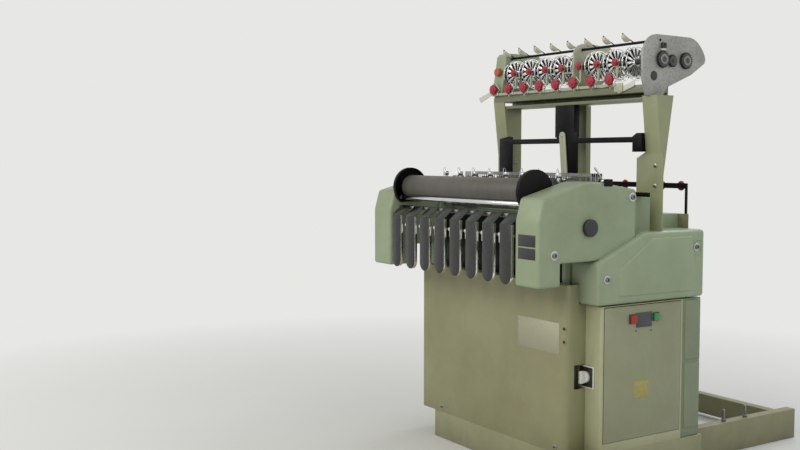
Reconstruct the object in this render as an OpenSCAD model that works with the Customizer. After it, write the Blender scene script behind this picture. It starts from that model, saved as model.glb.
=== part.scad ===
// Narrow-fabric power loom that weaves eight tapes side by side.
// Right is +X, the back of the loom is +Y, and the floor is Z = 0.
// The origin lies on the underside of the plinth, below the front panel.

/* [Weaving] */
// Distance between neighbouring tapes
tape_pitch = 117; // [108:1:124]
// Number of tapes
tape_count = 8; // [4:2:8]
// Width of one steel tape chute
chute_w = 75; // [50:1:90]
// Height of the rounded chute ends above the floor
chute_end_z = 838; // [800:1:900]
// Radius of the take-up roller over its covering
roller_r = 54; // [40:1:58]
// Thickness of the roller covering
roller_cover_t = 4; // [2:0.5:8]
// Height of the take-up roller axis
roller_z = 1210; // [1200:1:1220]
// Distance of the take-up roller axis in front of the front panel
roller_y = -117; // [-122:1:-110]
// Radius of the round roller guards
guard_r = 90; // [80:1:95]

/* [Cabinet] */
// Half the width of the front panel
panel_half_w = 527; // [515:1:540]
// Height of the plinth
plinth_h = 140; // [120:1:148]
// Depth of the cabinet
cabinet_d = 705; // [700:1:760]
// Height of the cast bed that carries the weaving parts
bed_z = 1100; // [1090:1:1102]
// Thickness of the cast covers
cover_t = 8; // [5:1:10]
// Thickness of the folded sheet
sheet_t = 2; // [1:0.5:3]
// Distance of the electrical box front behind the front panel
box_y = 105; // [95:1:110]
// Length of the two rails behind the plinth
rail_l = 735; // [500:5:900]

/* [Heads] */
// Width of each cast head
head_w = 147; // [140:1:150]
// Distance of the head fronts in front of the front panel
head_front_y = -225; // [-240:1:-222]
// Height of the lowest edge of the heads
head_chin_z = 839; // [820:1:880]

/* [Superstructure] */
// Height of the underside of the top beam
beam_z = 1588; // [1560:1:1610]
// Distance of the post fronts behind the front panel
post_y = 440; // [430:1:450]
// Radius of the feed wheels
wheel_r = 68; // [50:1:69]
// Height of the feed shafts above the top beam
feed_rise = 105; // [100:1:110]
// Radius of the lower tension knobs
knob_r = 25; // [18:1:30]

/* [Drive] */
// Radius of the main shaft
main_shaft_r = 17.5; // [14:0.5:22]
// Running radius of the main shaft pulley
shaft_pulley_r = 110; // [90:1:115]
// Running radius of the motor pulley
motor_pulley_r = 45; // [35:1:55]

/* [Hidden] */
$fn = 48;
// Radial clearance of a shaft in its bore
running_gap = 0.05;
// Gap between pieces that lie close but do not touch
seat_gap = 0.3;

work_half = tape_pitch * tape_count / 2;
frame_t = 20;
frame_in = work_half - frame_t;
head_out = work_half + head_w;
tape_x = [for (i = [0 : tape_count - 1]) (i - (tape_count - 1) / 2) * tape_pitch];
between_x = [for (i = [0 : tape_count - 1]) (i - tape_count / 2) * tape_pitch];

// Heads
head_wall = 12;
head_floor_z = 932;
head_back_y = 296;
head_peak_z = 1250;

// Take-up
guard_t = 18;
guard_plate_t = 3;
roller_half = work_half - guard_t - 2;
roller_journal_r = 15;
roller_journal_end = work_half - 4;
nip_r = 12;
nip_journal_r = 6;
nip_journal_end = work_half + head_wall - 2;
nip_angle = 50;
nip_reach = roller_r + nip_r + seat_gap;
nip_y = roller_y - nip_reach * cos(nip_angle);
nip_z = roller_z - nip_reach * sin(nip_angle);
chute_t = 2.5;
chute_lip = 14;
chute_bend_z = nip_z - 79;
chute_rail_y = [-175, -155];
chute_rail_z = nip_z - 39;
chute_rail_t = 12;
clip_rod_r = 4;
clip_rod_y = head_front_y + chute_t + chute_lip + clip_rod_r + 3;
clip_rod_z = chute_bend_z - 45;

// Cabinet
plinth_left = work_half + 32;
plinth_right = work_half + 154;
plinth_y = -1;
plinth_wall = 16;
plinth_chamfer = [90, 62];
pan_y = plinth_y - seat_gap - sheet_t;
pan_back = 44;
pan_z = [plinth_h - 12, chute_end_z - 8];
pan_r = 25;
frame_y = 44;
rail_h = plinth_h;
rail_w = 50;
rail_right = work_half + 82;
rail_wall = 10;

// Side covers
side_cover_x = work_half + 167;
side_cover_y = [67, 686];
side_cover_z = [751, 1040];
side_cover_front_top = 928;
side_cover_knee_y = 331;
left_cover_x = work_half + 132;
left_cover_top_y = 600;
left_cover_foot_y = 590;
left_cover_bulge = [[700, 960], [797, 790], [797, 650], [797, 500], [640, 520], [625, 383]];

// Electrical box
box_wall = 3;
box_in = work_half + 10;
box_out = work_half + 152;
column_x = [box_in + 22, box_out - 6];
box_back = 572;
box_z = [plinth_h, side_cover_z[0] - 6];
box_corner_r = 12;
door_y = [box_y + 16, box_back - 10];
door_z = [182, box_z[1] - 7];
door_t = 3;
door_flange = 12;
hinge_x = box_out - 8;
hinge_y = door_y[0] + 6;
hinge_barrel_r = 6;
hinge_pin_r = 3;
button_z = 683.5;
stop_y = 276.5;
start_y = 409.5;
stop_size = 34;
start_size = 29;
button_stem_r = 10;
button_lift = 4.5;
button_cap_t = 7.5;
bezel_t = 2;
switch_x = box_in + 59;
switch_z = 448;
switch_size = [90, 92];
switch_plate_t = 5;
switch_notch = switch_size[1] / 2 + 4;
spindle_r = 6;

// Weaving parts
sley_y = 130;
sley_z = bed_z + 25;
sley_shaft_r = 12;
needle_bar_y = 80;
needle_bar_z = bed_z + 35;
needle_bar_r = 6;
heald_y = 200;
heald_pitch = 12;
heald_t = 5;
heald_each = 3;
heald_half = frame_in - 2;
heald_z = [bed_z + 24, bed_z + 180];
heald_bar = 13;
guide_depth = 10;
guide_top = bed_z + 80;

// Drive
drive_y = 330;
main_z = 640;
motor_r = 85;
motor_z = plinth_h + 110;
motor_x = [-380, -120];
motor_shaft_r = 12;
belt_w = 38;
belt_t = 8;
belt_x = -work_half - 87;
pulley_flange_t = 4;
pulley_flange_h = 11;

// Superstructure
post_wall = 5;
post_lean = 31;
post_lean_z = bed_z + 260;
post_shelf_z = [bed_z + 100, bed_z + 245];
post_flange_y = post_y + 80;
centre_post_half = 52;
centre_post_y = [post_y + 90, post_y + 120];
beam_wall = 5;
beam_plate_t = 14;
beam_lip_z = beam_z + 34;
beam_top = beam_z + 67;
beam_y = [post_y - post_lean, post_y + 95];
beam_x = [-work_half - 27, work_half + 84];
feed_z = beam_top + feed_rise;
feed_y = [482, 621];
feed_shaft_r = 12;
wheel_half_w = 14;
plate_x = beam_x[1];
plate_foot_z = feed_z - 152;
plate_t = 12;
gear_module = 3;
gear_teeth = 22;
idler_teeth = 16;
gear_w = 12;
idler_angle = -4;
idler_reach = gear_module * (gear_teeth + idler_teeth) / 2;
idler_y = feed_y[0] + idler_reach * cos(idler_angle);
idler_z = feed_z + idler_reach * sin(idler_angle);
idler_pin_r = 6;
housing_x = [-work_half - 35, -work_half + 41];
housing_y = [405, 435, 450, 640, 690, 600];
centre_plate_x = 80;
centre_plate_t = 8;
bar_y = 396;
bar_t = 6;
bar_z = [beam_top, beam_top + 12];
lower_knob_z = beam_top + 30;
upper_knob_z = feed_z + 2;
upper_knob_r = 17;
knob_depth = 18;
stud_r = 3;
finger_y = 430;
guide_rod_y = 470;
guide_rod_z = feed_z + 80;
guide_rod_r = 6;
end_knob_x = -work_half + 6;
end_knob_z = feed_z + 12;
end_knob_r = 20;

// Threads and stop motion
thread_y = [post_y - 28, post_y - 20];
thread_z = [bed_z + 312, bed_z + 336];
thread_left = -work_half + 18;
lever_pivot = [25, bed_z + 346];
lever_foot = [42, bed_z + 168];
lever_pin_r = 4;

// Back of the loom
spring_top_z = 990;
spring_bottom_z = 520;
spring_y = cabinet_d + 70;
spring_r = 7;
warp_rail_z = [910, 936];
disc_rail_z = [1208, 1232];
disc_z = (disc_rail_z[0] + disc_rail_z[1]) / 2;
disc_r = 22;
disc_hub_r = 10;

// Controls on the right head
start_lever_x = work_half + 117;
start_lever_y = 136;
start_lever_z = head_peak_z + 2;
start_lever_lean = 40;
start_lever_rod = 56;
start_lever_grip = 16;
lever_trunnion_r = 4;
head_knob_y = 34;
head_knob_z = 1068;
head_knob_r = 35;
head_knob_shaft_r = 8;

paint = [0.66, 0.72, 0.58];
panel_paint = [0.68, 0.67, 0.52];
dark = [0.08, 0.08, 0.09];
chrome = [0.78, 0.79, 0.80];
steel = [0.55, 0.56, 0.57];
red = [0.75, 0.05, 0.12];

// A block between two corners
module block(x, y, z) {
    translate([x[0], y[0], z[0]]) cube([x[1] - x[0], y[1] - y[0], z[1] - z[0]]);
}

// A round bar along X
module x_bar(r, x, y, z) {
    translate([x[0], y, z]) rotate([0, 90, 0]) cylinder(r = r, h = x[1] - x[0]);
}

// A round bar along Y
module y_bar(r, x, y, z) {
    translate([x, y[0], z]) rotate([-90, 0, 0]) cylinder(r = r, h = y[1] - y[0]);
}

// A round bar along Z
module z_bar(r, x, y, z) {
    translate([x, y, z[0]]) cylinder(r = r, h = z[1] - z[0]);
}

// A plate across X whose outline is given in Y and Z
module x_plate(x) {
    translate([x[0], 0, 0]) rotate([90, 0, 90]) linear_extrude(x[1] - x[0]) children();
}

// A plate across Y whose outline is given in X and Z
module y_plate(y) {
    translate([0, y[1], 0]) rotate([90, 0, 0]) linear_extrude(y[1] - y[0]) children();
}

// Points of a curve with two end points and two guide points
function curve(a, b, c, d, n) =
    [for (i = [1 : n]) let (t = i / n, s = 1 - t)
        a * s * s * s + b * 3 * s * s * t + c * 3 * s * t * t + d * t * t * t];

// Outline of a straight-toothed gear with one tooth at the given angle
function gear_outline(teeth, module_size, first) =
    let (r = teeth * module_size / 2, tip = r + module_size * 0.85, root = r - module_size * 1.2,
         step = 360 / teeth)
    [for (i = [0 : teeth - 1]) let (a = first + i * step)
        for (p = [[root, -0.27], [tip, -0.1], [tip, 0.1], [root, 0.27]])
            [p[0] * cos(a + p[1] * step), p[0] * sin(a + p[1] * step)]];

function plinth_outline(inset) =
    let (l = plinth_left - inset, r = plinth_right - inset, f = plinth_y + inset,
         b = cabinet_d - inset, cx = plinth_chamfer[0] - inset / 2, cy = plinth_chamfer[1] - inset / 2)
    [[-l + cx, f], [r - cx, f], [r, f + cy], [r, b], [-l, b], [-l, f + cy]];

module base_plinth() {
    color(paint) {
        difference() {
            linear_extrude(plinth_h) polygon(plinth_outline(0));
            translate([0, 0, -1]) linear_extrude(plinth_h - plinth_wall + 1)
                polygon(plinth_outline(plinth_wall));
        }
        for (x = [-180, 180])
            block([x, x + 12], [plinth_y + plinth_wall, cabinet_d - plinth_wall], [0, plinth_h - plinth_wall]);
    }
}

module rail(x, hollow) {
    difference() {
        block([x, x + rail_w], [cabinet_d, cabinet_d + rail_l], [0, rail_h]);
        translate([hollow, 0, 0])
            block([x, x + rail_w], [cabinet_d + rail_wall, cabinet_d + rail_l - rail_wall],
                  [rail_wall, rail_h - rail_wall]);
    }
}

module rear_base_frame() {
    cross_y = cabinet_d + rail_l - 70;
    color(paint) {
        rail(rail_right - rail_w, -rail_wall);
        rail(-plinth_left, rail_wall);
        difference() {
            block([-plinth_left + rail_wall, rail_right - rail_wall], [cross_y, cross_y + 50], [20, rail_h - 20]);
            block([-plinth_left + rail_wall + 5, rail_right - rail_wall - 5],
                  [cross_y + 5, cross_y + 51], [25, rail_h - 25]);
        }
    }
}

module front_panel() {
    flat = panel_half_w - pan_r;
    color(panel_paint) {
        block([-flat, flat], [pan_y, pan_y + sheet_t], pan_z);
        block([-flat, flat], [pan_y, frame_y], [pan_z[1] - sheet_t, pan_z[1]]);
        for (side = [-1, 1]) {
            foot = side > 0 ? plinth_h : pan_z[0];
            back = side > 0 ? box_y - seat_gap : pan_back;
            intersection() {
                difference() {
                    z_bar(pan_r, side * flat, pan_y + pan_r, pan_z);
                    z_bar(pan_r - sheet_t, side * flat, pan_y + pan_r, [pan_z[0] - 1, pan_z[1] + 1]);
                }
                translate([side > 0 ? flat : -flat - pan_r, pan_y, foot])
                    cube([pan_r, pan_r, pan_z[1] - foot]);
            }
            difference() {
                translate([side > 0 ? panel_half_w - sheet_t : -panel_half_w, pan_y + pan_r, foot])
                    cube([sheet_t, back - pan_y - pan_r, pan_z[1] - foot]);
                block([panel_half_w - sheet_t - 1, panel_half_w + 1], [pan_back, box_y],
                      [switch_z - switch_notch, switch_z + switch_notch]);
                block([panel_half_w - sheet_t - 1, panel_half_w + 1], [side_cover_y[0] - seat_gap, box_y],
                      [side_cover_z[0] - seat_gap, pan_z[1] + 1]);
            }
        }
    }
}

module rear_panel() {
    y = cabinet_d - 5;
    color(panel_paint) {
        block([-panel_half_w, panel_half_w], [y, y + sheet_t], [plinth_h, bed_z]);
        for (side = [-1, 1])
            translate([side > 0 ? panel_half_w - sheet_t : -panel_half_w, y - 10, plinth_h])
                cube([sheet_t, 10, side_cover_z[0] - plinth_h - 10]);
    }
}

function left_cover_outline() = let (top = [left_cover_top_y, side_cover_z[1]], b = left_cover_bulge) concat(
    [[left_cover_foot_y, plinth_h + 10], [side_cover_y[0], plinth_h + 10], [side_cover_y[0], head_floor_z - 4],
     [head_back_y + 4, head_floor_z - 4], [head_back_y + 4, top[1]], top],
    curve(top, b[0], b[1], b[2], 8), curve(b[2], b[3], b[4], b[5], 8));

module left_side_cover() {
    color(paint) difference() {
        x_plate([-left_cover_x, -work_half - seat_gap]) polygon(left_cover_outline());
        x_plate([-left_cover_x + cover_t, -work_half + 1])
            offset(delta = -cover_t) polygon(left_cover_outline());
        block([-panel_half_w - 1, -work_half + 1], [cabinet_d - 20, cabinet_d + 150], [plinth_h, bed_z + 1]);
    }
}

module machine_frame() {
    frame_back = cabinet_d - 5;
    front_leg = [[frame_y, plinth_h], [frame_y, bed_z], [60, guide_top], [540, guide_top], [600, bed_z],
                 [frame_back, bed_z], [frame_back, plinth_h]];
    color(paint) {
        for (side = [-1, 1]) difference() {
            x_plate(side > 0 ? [frame_in, work_half] : [-work_half, -frame_in]) polygon(front_leg);
            x_bar(main_shaft_r + running_gap, [-work_half - 1, work_half + 1], drive_y, main_z);
            x_bar(sley_shaft_r + running_gap, [-work_half - 1, work_half + 1], sley_y, sley_z);
            x_bar(needle_bar_r + running_gap, [-work_half - 1, work_half + 1], needle_bar_y, needle_bar_z);
            if (side < 0) x_bar(motor_shaft_r + 15, [-work_half - 1, -frame_in + 1], drive_y, motor_z);
        }
        block([-frame_in, frame_in], [frame_y, frame_back], [bed_z - 15, bed_z]);
        block([-frame_in, frame_in], [frame_y, frame_y + 8], [pan_z[1] - 10, bed_z - 15]);
        for (side = [-1, 1], i = [0 : 2 * heald_each]) {
            y = heald_y - heald_pitch / 2 + i * heald_pitch;
            half = (heald_pitch - heald_t) / 2 - seat_gap;
            translate([side > 0 ? frame_in - guide_depth : -frame_in, y - half, bed_z])
                cube([guide_depth, 2 * half, guide_top - bed_z]);
        }
    }
}

module box_outline(inset) {
    r = box_corner_r;
    translate([box_in + inset, box_y + inset]) square([box_out - box_in - r - inset, box_back - box_y - 2 * inset]);
    translate([box_out - r - 1, box_y + r]) square([r + 1, box_back - box_y - r - inset]);
    translate([box_out - r, box_y + r]) circle(r - inset);
}

module electrical_box() {
    color(panel_paint) difference() {
        union() {
            difference() {
                translate([0, 0, box_z[0]]) linear_extrude(box_z[1] - box_z[0]) box_outline(0);
                translate([0, 0, box_z[0] + box_wall]) linear_extrude(box_z[1] - box_z[0] - 2 * box_wall)
                    union() {
                        box_outline(box_wall);
                        translate([box_out - box_corner_r, box_y + box_corner_r])
                            square([box_corner_r + 1, box_back - box_y - box_corner_r - box_wall]);
                    }
            }
            block([box_out - door_t, box_out], [box_y + box_corner_r, box_back - 1], [box_z[0], door_z[0] - 2]);
            block([hinge_x - 12, box_out - 1], [box_y + 10, hinge_y + 12], [door_z[0] - 8, door_z[0] - 2]);
            block([box_out - door_t, box_out], [door_y[1] + 2, box_back - 1], [door_z[0] - 3, box_z[1]]);
        }
        z_bar(hinge_pin_r + running_gap, hinge_x, hinge_y, [door_z[0] - 9, door_z[0]]);
        z_bar(hinge_pin_r + running_gap, hinge_x, hinge_y, [box_z[1] - box_wall - 1, box_z[1] + 1]);
        y_bar(spindle_r + 1, switch_x, [box_y - 1, box_y + box_wall + 1], switch_z);
    }
}

module electrical_door() {
    x = [box_out - door_t, box_out];
    flange_x = [box_out - door_t - door_flange, box_out - door_t];
    flange_y = [hinge_y, door_y[1]];
    color(panel_paint) difference() {
        union() {
            block(x, door_y, door_z);
            block(flange_x, [door_y[1] - sheet_t, door_y[1]], door_z);
            block(flange_x, flange_y, [door_z[0], door_z[0] + sheet_t]);
            block(flange_x, flange_y, [door_z[1] - sheet_t, door_z[1]]);
            z_bar(hinge_barrel_r, hinge_x, hinge_y, door_z);
            z_bar(hinge_pin_r, hinge_x, hinge_y, [door_z[0] - 8, box_z[1]]);
        }
        x_bar(button_stem_r + running_gap, [x[0] - 1, x[1] + 1], stop_y, button_z);
        x_bar(button_stem_r + running_gap, [x[0] - 1, x[1] + 1], start_y, button_z);
    }
}

module bezel(y, size) {
    half = size / 2 + seat_gap + 0.2;
    difference() {
        block([box_out, box_out + 6], [y - half - bezel_t, y + half + bezel_t],
              [button_z - half - bezel_t, button_z + half + bezel_t]);
        block([box_out - 1, box_out + 7], [y - half, y + half], [button_z - half, button_z + half]);
    }
}

module button_plate() {
    color([0.22, 0.24, 0.27]) {
        block([box_out, box_out + 3], [stop_y + stop_size / 2 + bezel_t + 2, start_y - start_size / 2 - bezel_t - 6],
              [button_z - 38, button_z + 23]);
        bezel(stop_y, stop_size);
        bezel(start_y, start_size);
    }
}

module push_button(y, size) {
    x_bar(button_stem_r, [box_out - 25, box_out + button_lift + 1], y, button_z);
    block([box_out + button_lift, box_out + button_lift + button_cap_t],
          [y - size / 2, y + size / 2], [button_z - size / 2, button_z + size / 2]);
}

module stop_button() {
    color([0.75, 0.06, 0.06]) push_button(stop_y, stop_size);
}

module start_button() {
    color([0.10, 0.55, 0.25]) push_button(start_y, start_size);
}

module switch_plate() {
    color(dark) difference() {
        block([switch_x - switch_size[0] / 2, switch_x + switch_size[0] / 2], [box_y - switch_plate_t, box_y],
              [switch_z - switch_size[1] / 2, switch_z + switch_size[1] / 2]);
        y_bar(spindle_r + running_gap, switch_x, [box_y - switch_plate_t - 1, box_y + 1], switch_z);
    }
}

module switch_knob() {
    face = box_y - switch_plate_t - seat_gap;
    color([0.92, 0.92, 0.88]) {
        y_bar(24, switch_x, [face - 14, face], switch_z);
        block([switch_x - 7, switch_x + 7], [face - 36, face - 14], [switch_z - 26, switch_z + 26]);
        y_bar(spindle_r, switch_x, [face - 14, box_y + 14], switch_z);
    }
}

side_cover_outline = [[side_cover_y[0], side_cover_z[0]], [side_cover_y[0], side_cover_front_top],
                      [side_cover_knee_y, side_cover_z[1]], [side_cover_y[1], side_cover_z[1]],
                      [side_cover_y[1], side_cover_z[0]]];
side_cover_pad = [[184, 783], [181, 894], [372, 1015], [605, 1014], [642, 780]];

module upper_side_cover() {
    color(paint) {
        difference() {
            x_plate([work_half + seat_gap, side_cover_x]) polygon(side_cover_outline);
            x_plate([work_half - 1, side_cover_x - cover_t])
                offset(delta = -cover_t) polygon(side_cover_outline);
            block([work_half - 1, head_out + seat_gap], [head_front_y, head_back_y + seat_gap],
                  [head_floor_z - 1, head_peak_z]);
        }
        x_plate([side_cover_x, side_cover_x + 5]) polygon(side_cover_pad);
    }
}

module rear_column_cover() {
    y = [box_back + 3, side_cover_y[1] + 4];
    x = column_x;
    z = [plinth_h, side_cover_z[0] - 6];
    color(paint) {
        difference() {
            block(x, y, z);
            block([x[0] - 1, x[1] - cover_t], y + [cover_t, -cover_t], z + [-1, -cover_t]);
        }
        for (pad = [[181, 462], [479, 738]])
            block([x[1], x[1] + 6], [y[0] + 17, y[1] - 6], pad);
    }
}

function head_outline(i) = let (f = head_front_y + i, b = head_back_y - i, top = head_peak_z - i)
    [[f, head_chin_z + i], [-109 - i, head_chin_z + i], [-109 - i, head_floor_z + i], [b, head_floor_z + i],
     [b, top - 42], [b - 14, top - 30], [95, top], [20, top], [f + 34, top - 58], [f + 22, top - 68], [f, top - 150]];

// The cast head of one side, open below so that the drive can reach it
module head(side) {
    near = side > 0 ? work_half : -head_out;
    far = side > 0 ? head_out : -work_half;
    cavity = side > 0 ? [near + head_wall, far - 10] : [near + 10, far - head_wall];
    difference() {
        x_plate([near, far]) polygon(head_outline(0));
        x_plate(cavity) polygon(head_outline(10));
        block(cavity, [-95, head_back_y - 10], [head_floor_z - 1, head_floor_z + 20]);
        x_bar(nip_journal_r + running_gap, [-work_half - head_wall - 1, work_half + head_wall + 1], nip_y, nip_z);
        x_bar(needle_bar_r + 4, [-work_half - head_wall - 1, work_half + head_wall + 1], needle_bar_y, needle_bar_z);
    }
}

module head_left() {
    color(paint) head(-1);
}

module head_right() {
    cheek = 6;
    color(paint) difference() {
        union() {
            head(1);
            for (x = [start_lever_x - 10 - seat_gap - cheek, start_lever_x + 10 + seat_gap])
                block([x, x + cheek], [start_lever_y - 10, start_lever_y + 10], [head_peak_z - 24, start_lever_z + 9]);
        }
        x_bar(lever_trunnion_r + running_gap, [start_lever_x - 30, start_lever_x + 30], start_lever_y, start_lever_z);
        x_bar(head_knob_shaft_r + running_gap, [head_out - 11, head_out + 1], head_knob_y, head_knob_z);
    }
}

module guard(side) {
    x = side > 0 ? [work_half - guard_t, work_half] : [-work_half, -work_half + guard_t];
    inner = side > 0 ? [x[0] - 1, x[1] - guard_plate_t] : [x[0] + guard_plate_t, x[1] + 1];
    boss = side > 0 ? [x[0] + 2, x[1] - 1] : [x[0] + 1, x[1] - 2];
    bore = side > 0 ? [x[0], roller_journal_end + seat_gap] : [-roller_journal_end - seat_gap, x[1]];
    difference() {
        union() {
            difference() {
                x_bar(guard_r, x, roller_y, roller_z);
                x_bar(guard_r - guard_plate_t, inner, roller_y, roller_z);
                block(x + [-1, 1], [roller_y - guard_r - 1, roller_y + guard_r + 1],
                      [roller_z - guard_r - 1, nip_z - 22]);
            }
            x_bar(roller_journal_r + 9, boss, roller_y, roller_z);
        }
        x_bar(roller_journal_r + running_gap, bore, roller_y, roller_z);
        x_bar(nip_journal_r + 4, x + [-1, 1], nip_y, nip_z);
    }
}

module roller_guards() {
    color(dark) for (side = [-1, 1]) guard(side);
}

module roller_sleeve() {
    color([0.62, 0.58, 0.54]) difference() {
        x_bar(roller_r, [-roller_half, roller_half], roller_y, roller_z);
        x_bar(roller_r - roller_cover_t, [-roller_half - 1, roller_half + 1], roller_y, roller_z);
    }
}

module roller_shaft() {
    core = roller_r - roller_cover_t - running_gap;
    color(steel) {
        x_bar(core, [-roller_half, roller_half], roller_y, roller_z);
        x_bar(roller_journal_r, [-roller_journal_end, roller_journal_end], roller_y, roller_z);
    }
}

module nip_roller() {
    color(chrome) {
        x_bar(nip_r, [-roller_half, roller_half], nip_y, nip_z);
        x_bar(nip_journal_r, [-nip_journal_end, nip_journal_end], nip_y, nip_z);
    }
}

// One folded steel chute with a round lower end
module chute(x) {
    end_r = chute_w / 2;
    y = [head_front_y, head_front_y + chute_t];
    x_side = [x - chute_w / 2, x + chute_w / 2];
    block(x_side, y, [chute_end_z + end_r, chute_bend_z]);
    difference() {
        y_bar(end_r, x, [y[0], y[0] + chute_lip], chute_end_z + end_r);
        y_bar(end_r - chute_t, x, [y[1], y[0] + chute_lip + 1], chute_end_z + end_r);
        block(x_side + [-1, 1], [y[1], y[0] + chute_lip + 1], [chute_end_z + end_r, chute_end_z + 2 * end_r + 1]);
    }
    for (s = [x_side[0], x_side[1] - chute_t])
        block([s, s + chute_t], [y[0], y[0] + chute_lip], [chute_end_z + end_r, chute_bend_z]);
    x_plate(x_side) polygon([[y[0], chute_bend_z], [y[1], chute_bend_z - 1], [chute_rail_y[0], chute_rail_z],
                             [chute_rail_y[1], chute_rail_z], [chute_rail_y[1], chute_rail_z + chute_t],
                             [chute_rail_y[0] - 1, chute_rail_z + chute_t]]);
}

module tape_chutes() {
    color(chrome) for (x = tape_x) chute(x);
}

module chute_rail() {
    color(steel) {
        block([-work_half, work_half], chute_rail_y, [chute_rail_z - chute_rail_t, chute_rail_z]);
        x_bar(clip_rod_r, [-work_half, work_half], clip_rod_y, clip_rod_z);
    }
}

module tape_clips() {
    color([0.92, 0.92, 0.88]) for (i = [1 : tape_count - 1]) {
        x = between_x[i];
        difference() {
            union() {
                x_bar(9, [x - 11, x + 11], clip_rod_y, clip_rod_z);
                block([x - 11, x + 11], [clip_rod_y - 3, clip_rod_y], [clip_rod_z - 34, clip_rod_z]);
            }
            x_bar(clip_rod_r + running_gap, [x - 12, x + 12], clip_rod_y, clip_rod_z);
        }
    }
}

module main_shaft() {
    color(steel) {
        x_bar(main_shaft_r, [belt_x - 12, work_half + 2], drive_y, main_z);
        for (i = [0 : 3])
            x_bar(45, [-306 + i * 200, -282 + i * 200], drive_y + 10 * cos(i * 90), main_z + 10 * sin(i * 90));
    }
}

module pulley(r, bore, z) {
    difference() {
        union() {
            x_bar(r, [belt_x, belt_x + belt_w], drive_y, z);
            for (x = [belt_x - pulley_flange_t, belt_x + belt_w])
                x_bar(r + pulley_flange_h, [x, x + pulley_flange_t], drive_y, z);
        }
        if (bore > 0) x_bar(bore, [belt_x - 10, belt_x + belt_w + 10], drive_y, z);
    }
}

module shaft_pulley() {
    color([0.30, 0.31, 0.32]) pulley(shaft_pulley_r, main_shaft_r, main_z);
}

module motor() {
    color([0.42, 0.50, 0.44]) difference() {
        union() {
            x_bar(motor_r, motor_x, drive_y, motor_z);
            block(motor_x + [30, -30], [drive_y - 90, drive_y + 90], [plinth_h, plinth_h + 14]);
            block(motor_x + [30, -30], [drive_y - 60, drive_y + 60], [plinth_h + 10, motor_z - 40]);
            block([motor_x[0] + 90, motor_x[1] - 60], [drive_y - 40, drive_y + 40], [motor_z, motor_z + motor_r + 30]);
        }
        x_bar(motor_shaft_r + running_gap, [motor_x[0] - 1, motor_x[0] + 60], drive_y, motor_z);
    }
}

module motor_pulley() {
    color([0.30, 0.31, 0.32]) {
        pulley(motor_pulley_r, 0, motor_z);
        x_bar(motor_shaft_r, [belt_x - 6, motor_x[0] + 55], drive_y, motor_z);
    }
}

module belt_loop(extra) {
    hull() {
        translate([drive_y, main_z]) circle(shaft_pulley_r + extra, $fn = 64);
        translate([drive_y, motor_z]) circle(motor_pulley_r + extra, $fn = 64);
    }
}

module drive_belt() {
    color(dark) x_plate([belt_x + 0.5, belt_x + belt_w - 0.5]) difference() {
        belt_loop(seat_gap + belt_t);
        belt_loop(seat_gap + 0.3);
    }
}

module sley() {
    color(steel) {
        x_bar(sley_shaft_r, [-work_half + seat_gap, work_half - seat_gap], sley_y, sley_z);
        block([-frame_in + 14, frame_in - 14], [sley_y - 5, sley_y + 5], [sley_z, sley_z + 60]);
        block([-frame_in + 14, frame_in - 14], [sley_y - 9, sley_y + 9], [sley_z + 58, sley_z + 68]);
    }
}

module reeds() {
    half = tape_pitch * 0.36;
    z = [sley_z + 68, sley_z + 136];
    dents = 12;
    color(steel) for (x = tape_x) {
        block([x - half, x + half], [sley_y - 4, sley_y + 4], [z[0], z[0] + 8]);
        block([x - half, x + half], [sley_y - 4, sley_y + 4], [z[1] - 8, z[1]]);
        for (i = [0 : dents])
            translate([x - half + i * (2 * half - 1.5) / dents, sley_y - 2, z[0]]) cube([1.5, 4, z[1] - z[0]]);
    }
}

module weft_needles() {
    arc_r = tape_pitch * 0.26;
    z = [needle_bar_z + 80, needle_bar_z + 83];
    color(chrome) {
        x_bar(needle_bar_r, [-work_half - 62, work_half + 20], needle_bar_y, needle_bar_z);
        for (x = tape_x) {
            block([x - arc_r - 7, x - arc_r + 7], [needle_bar_y - 10, needle_bar_y + 8], [needle_bar_z - 8, z[1]]);
            intersection() {
                difference() {
                    z_bar(arc_r, x, needle_bar_y, z);
                    z_bar(arc_r - 4, x, needle_bar_y, z + [-1, 1]);
                }
                block([x - arc_r - 1, x + arc_r + 1], [needle_bar_y - arc_r - 1, needle_bar_y], z + [-1, 1]);
            }
        }
    }
}

// One heald frame with its healds in groups, one group behind each tape
module heald_frame(y) {
    side = 6;
    for (z = [heald_z[0], heald_z[1] - heald_bar])
        block([-heald_half, heald_half], [y, y + heald_t], [z, z + heald_bar]);
    for (x = [-heald_half, heald_half - side])
        block([x, x + side], [y, y + heald_t], heald_z);
    for (x = tape_x, i = [-1 : 1])
        block([x + i * 18 - 0.75, x + i * 18 + 0.75], [y + 1.5, y + 3.5], heald_z + [heald_bar - 1, 1 - heald_bar]);
}

module heald_frames_odd() {
    color(steel) for (i = [0 : heald_each - 1])
        heald_frame(heald_y - heald_t / 2 + 2 * i * heald_pitch);
}

module heald_frames_even() {
    color([0.35, 0.36, 0.38]) for (i = [0 : heald_each - 1])
        heald_frame(heald_y - heald_t / 2 + (2 * i + 1) * heald_pitch);
}

// Front of a post at one height: upright below, leaning forward to the beam above
function post_front(z) = post_y - max(0, z - post_lean_z) * post_lean / (beam_lip_z - post_lean_z);

// The face plate of a post, cut to an outline in X and Z
module post_face(outline, foot, top) {
    intersection() {
        y_plate([beam_y[0] - 1, post_y + post_wall + 1]) polygon(outline);
        x_plate([-head_out, head_out + 10])
            polygon([[post_y, foot], [post_y + post_wall, foot], [post_y + post_wall, post_lean_z],
                     [post_front(top) + post_wall, top], [post_front(top), top], [post_y, post_lean_z]]);
    }
}

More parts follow.
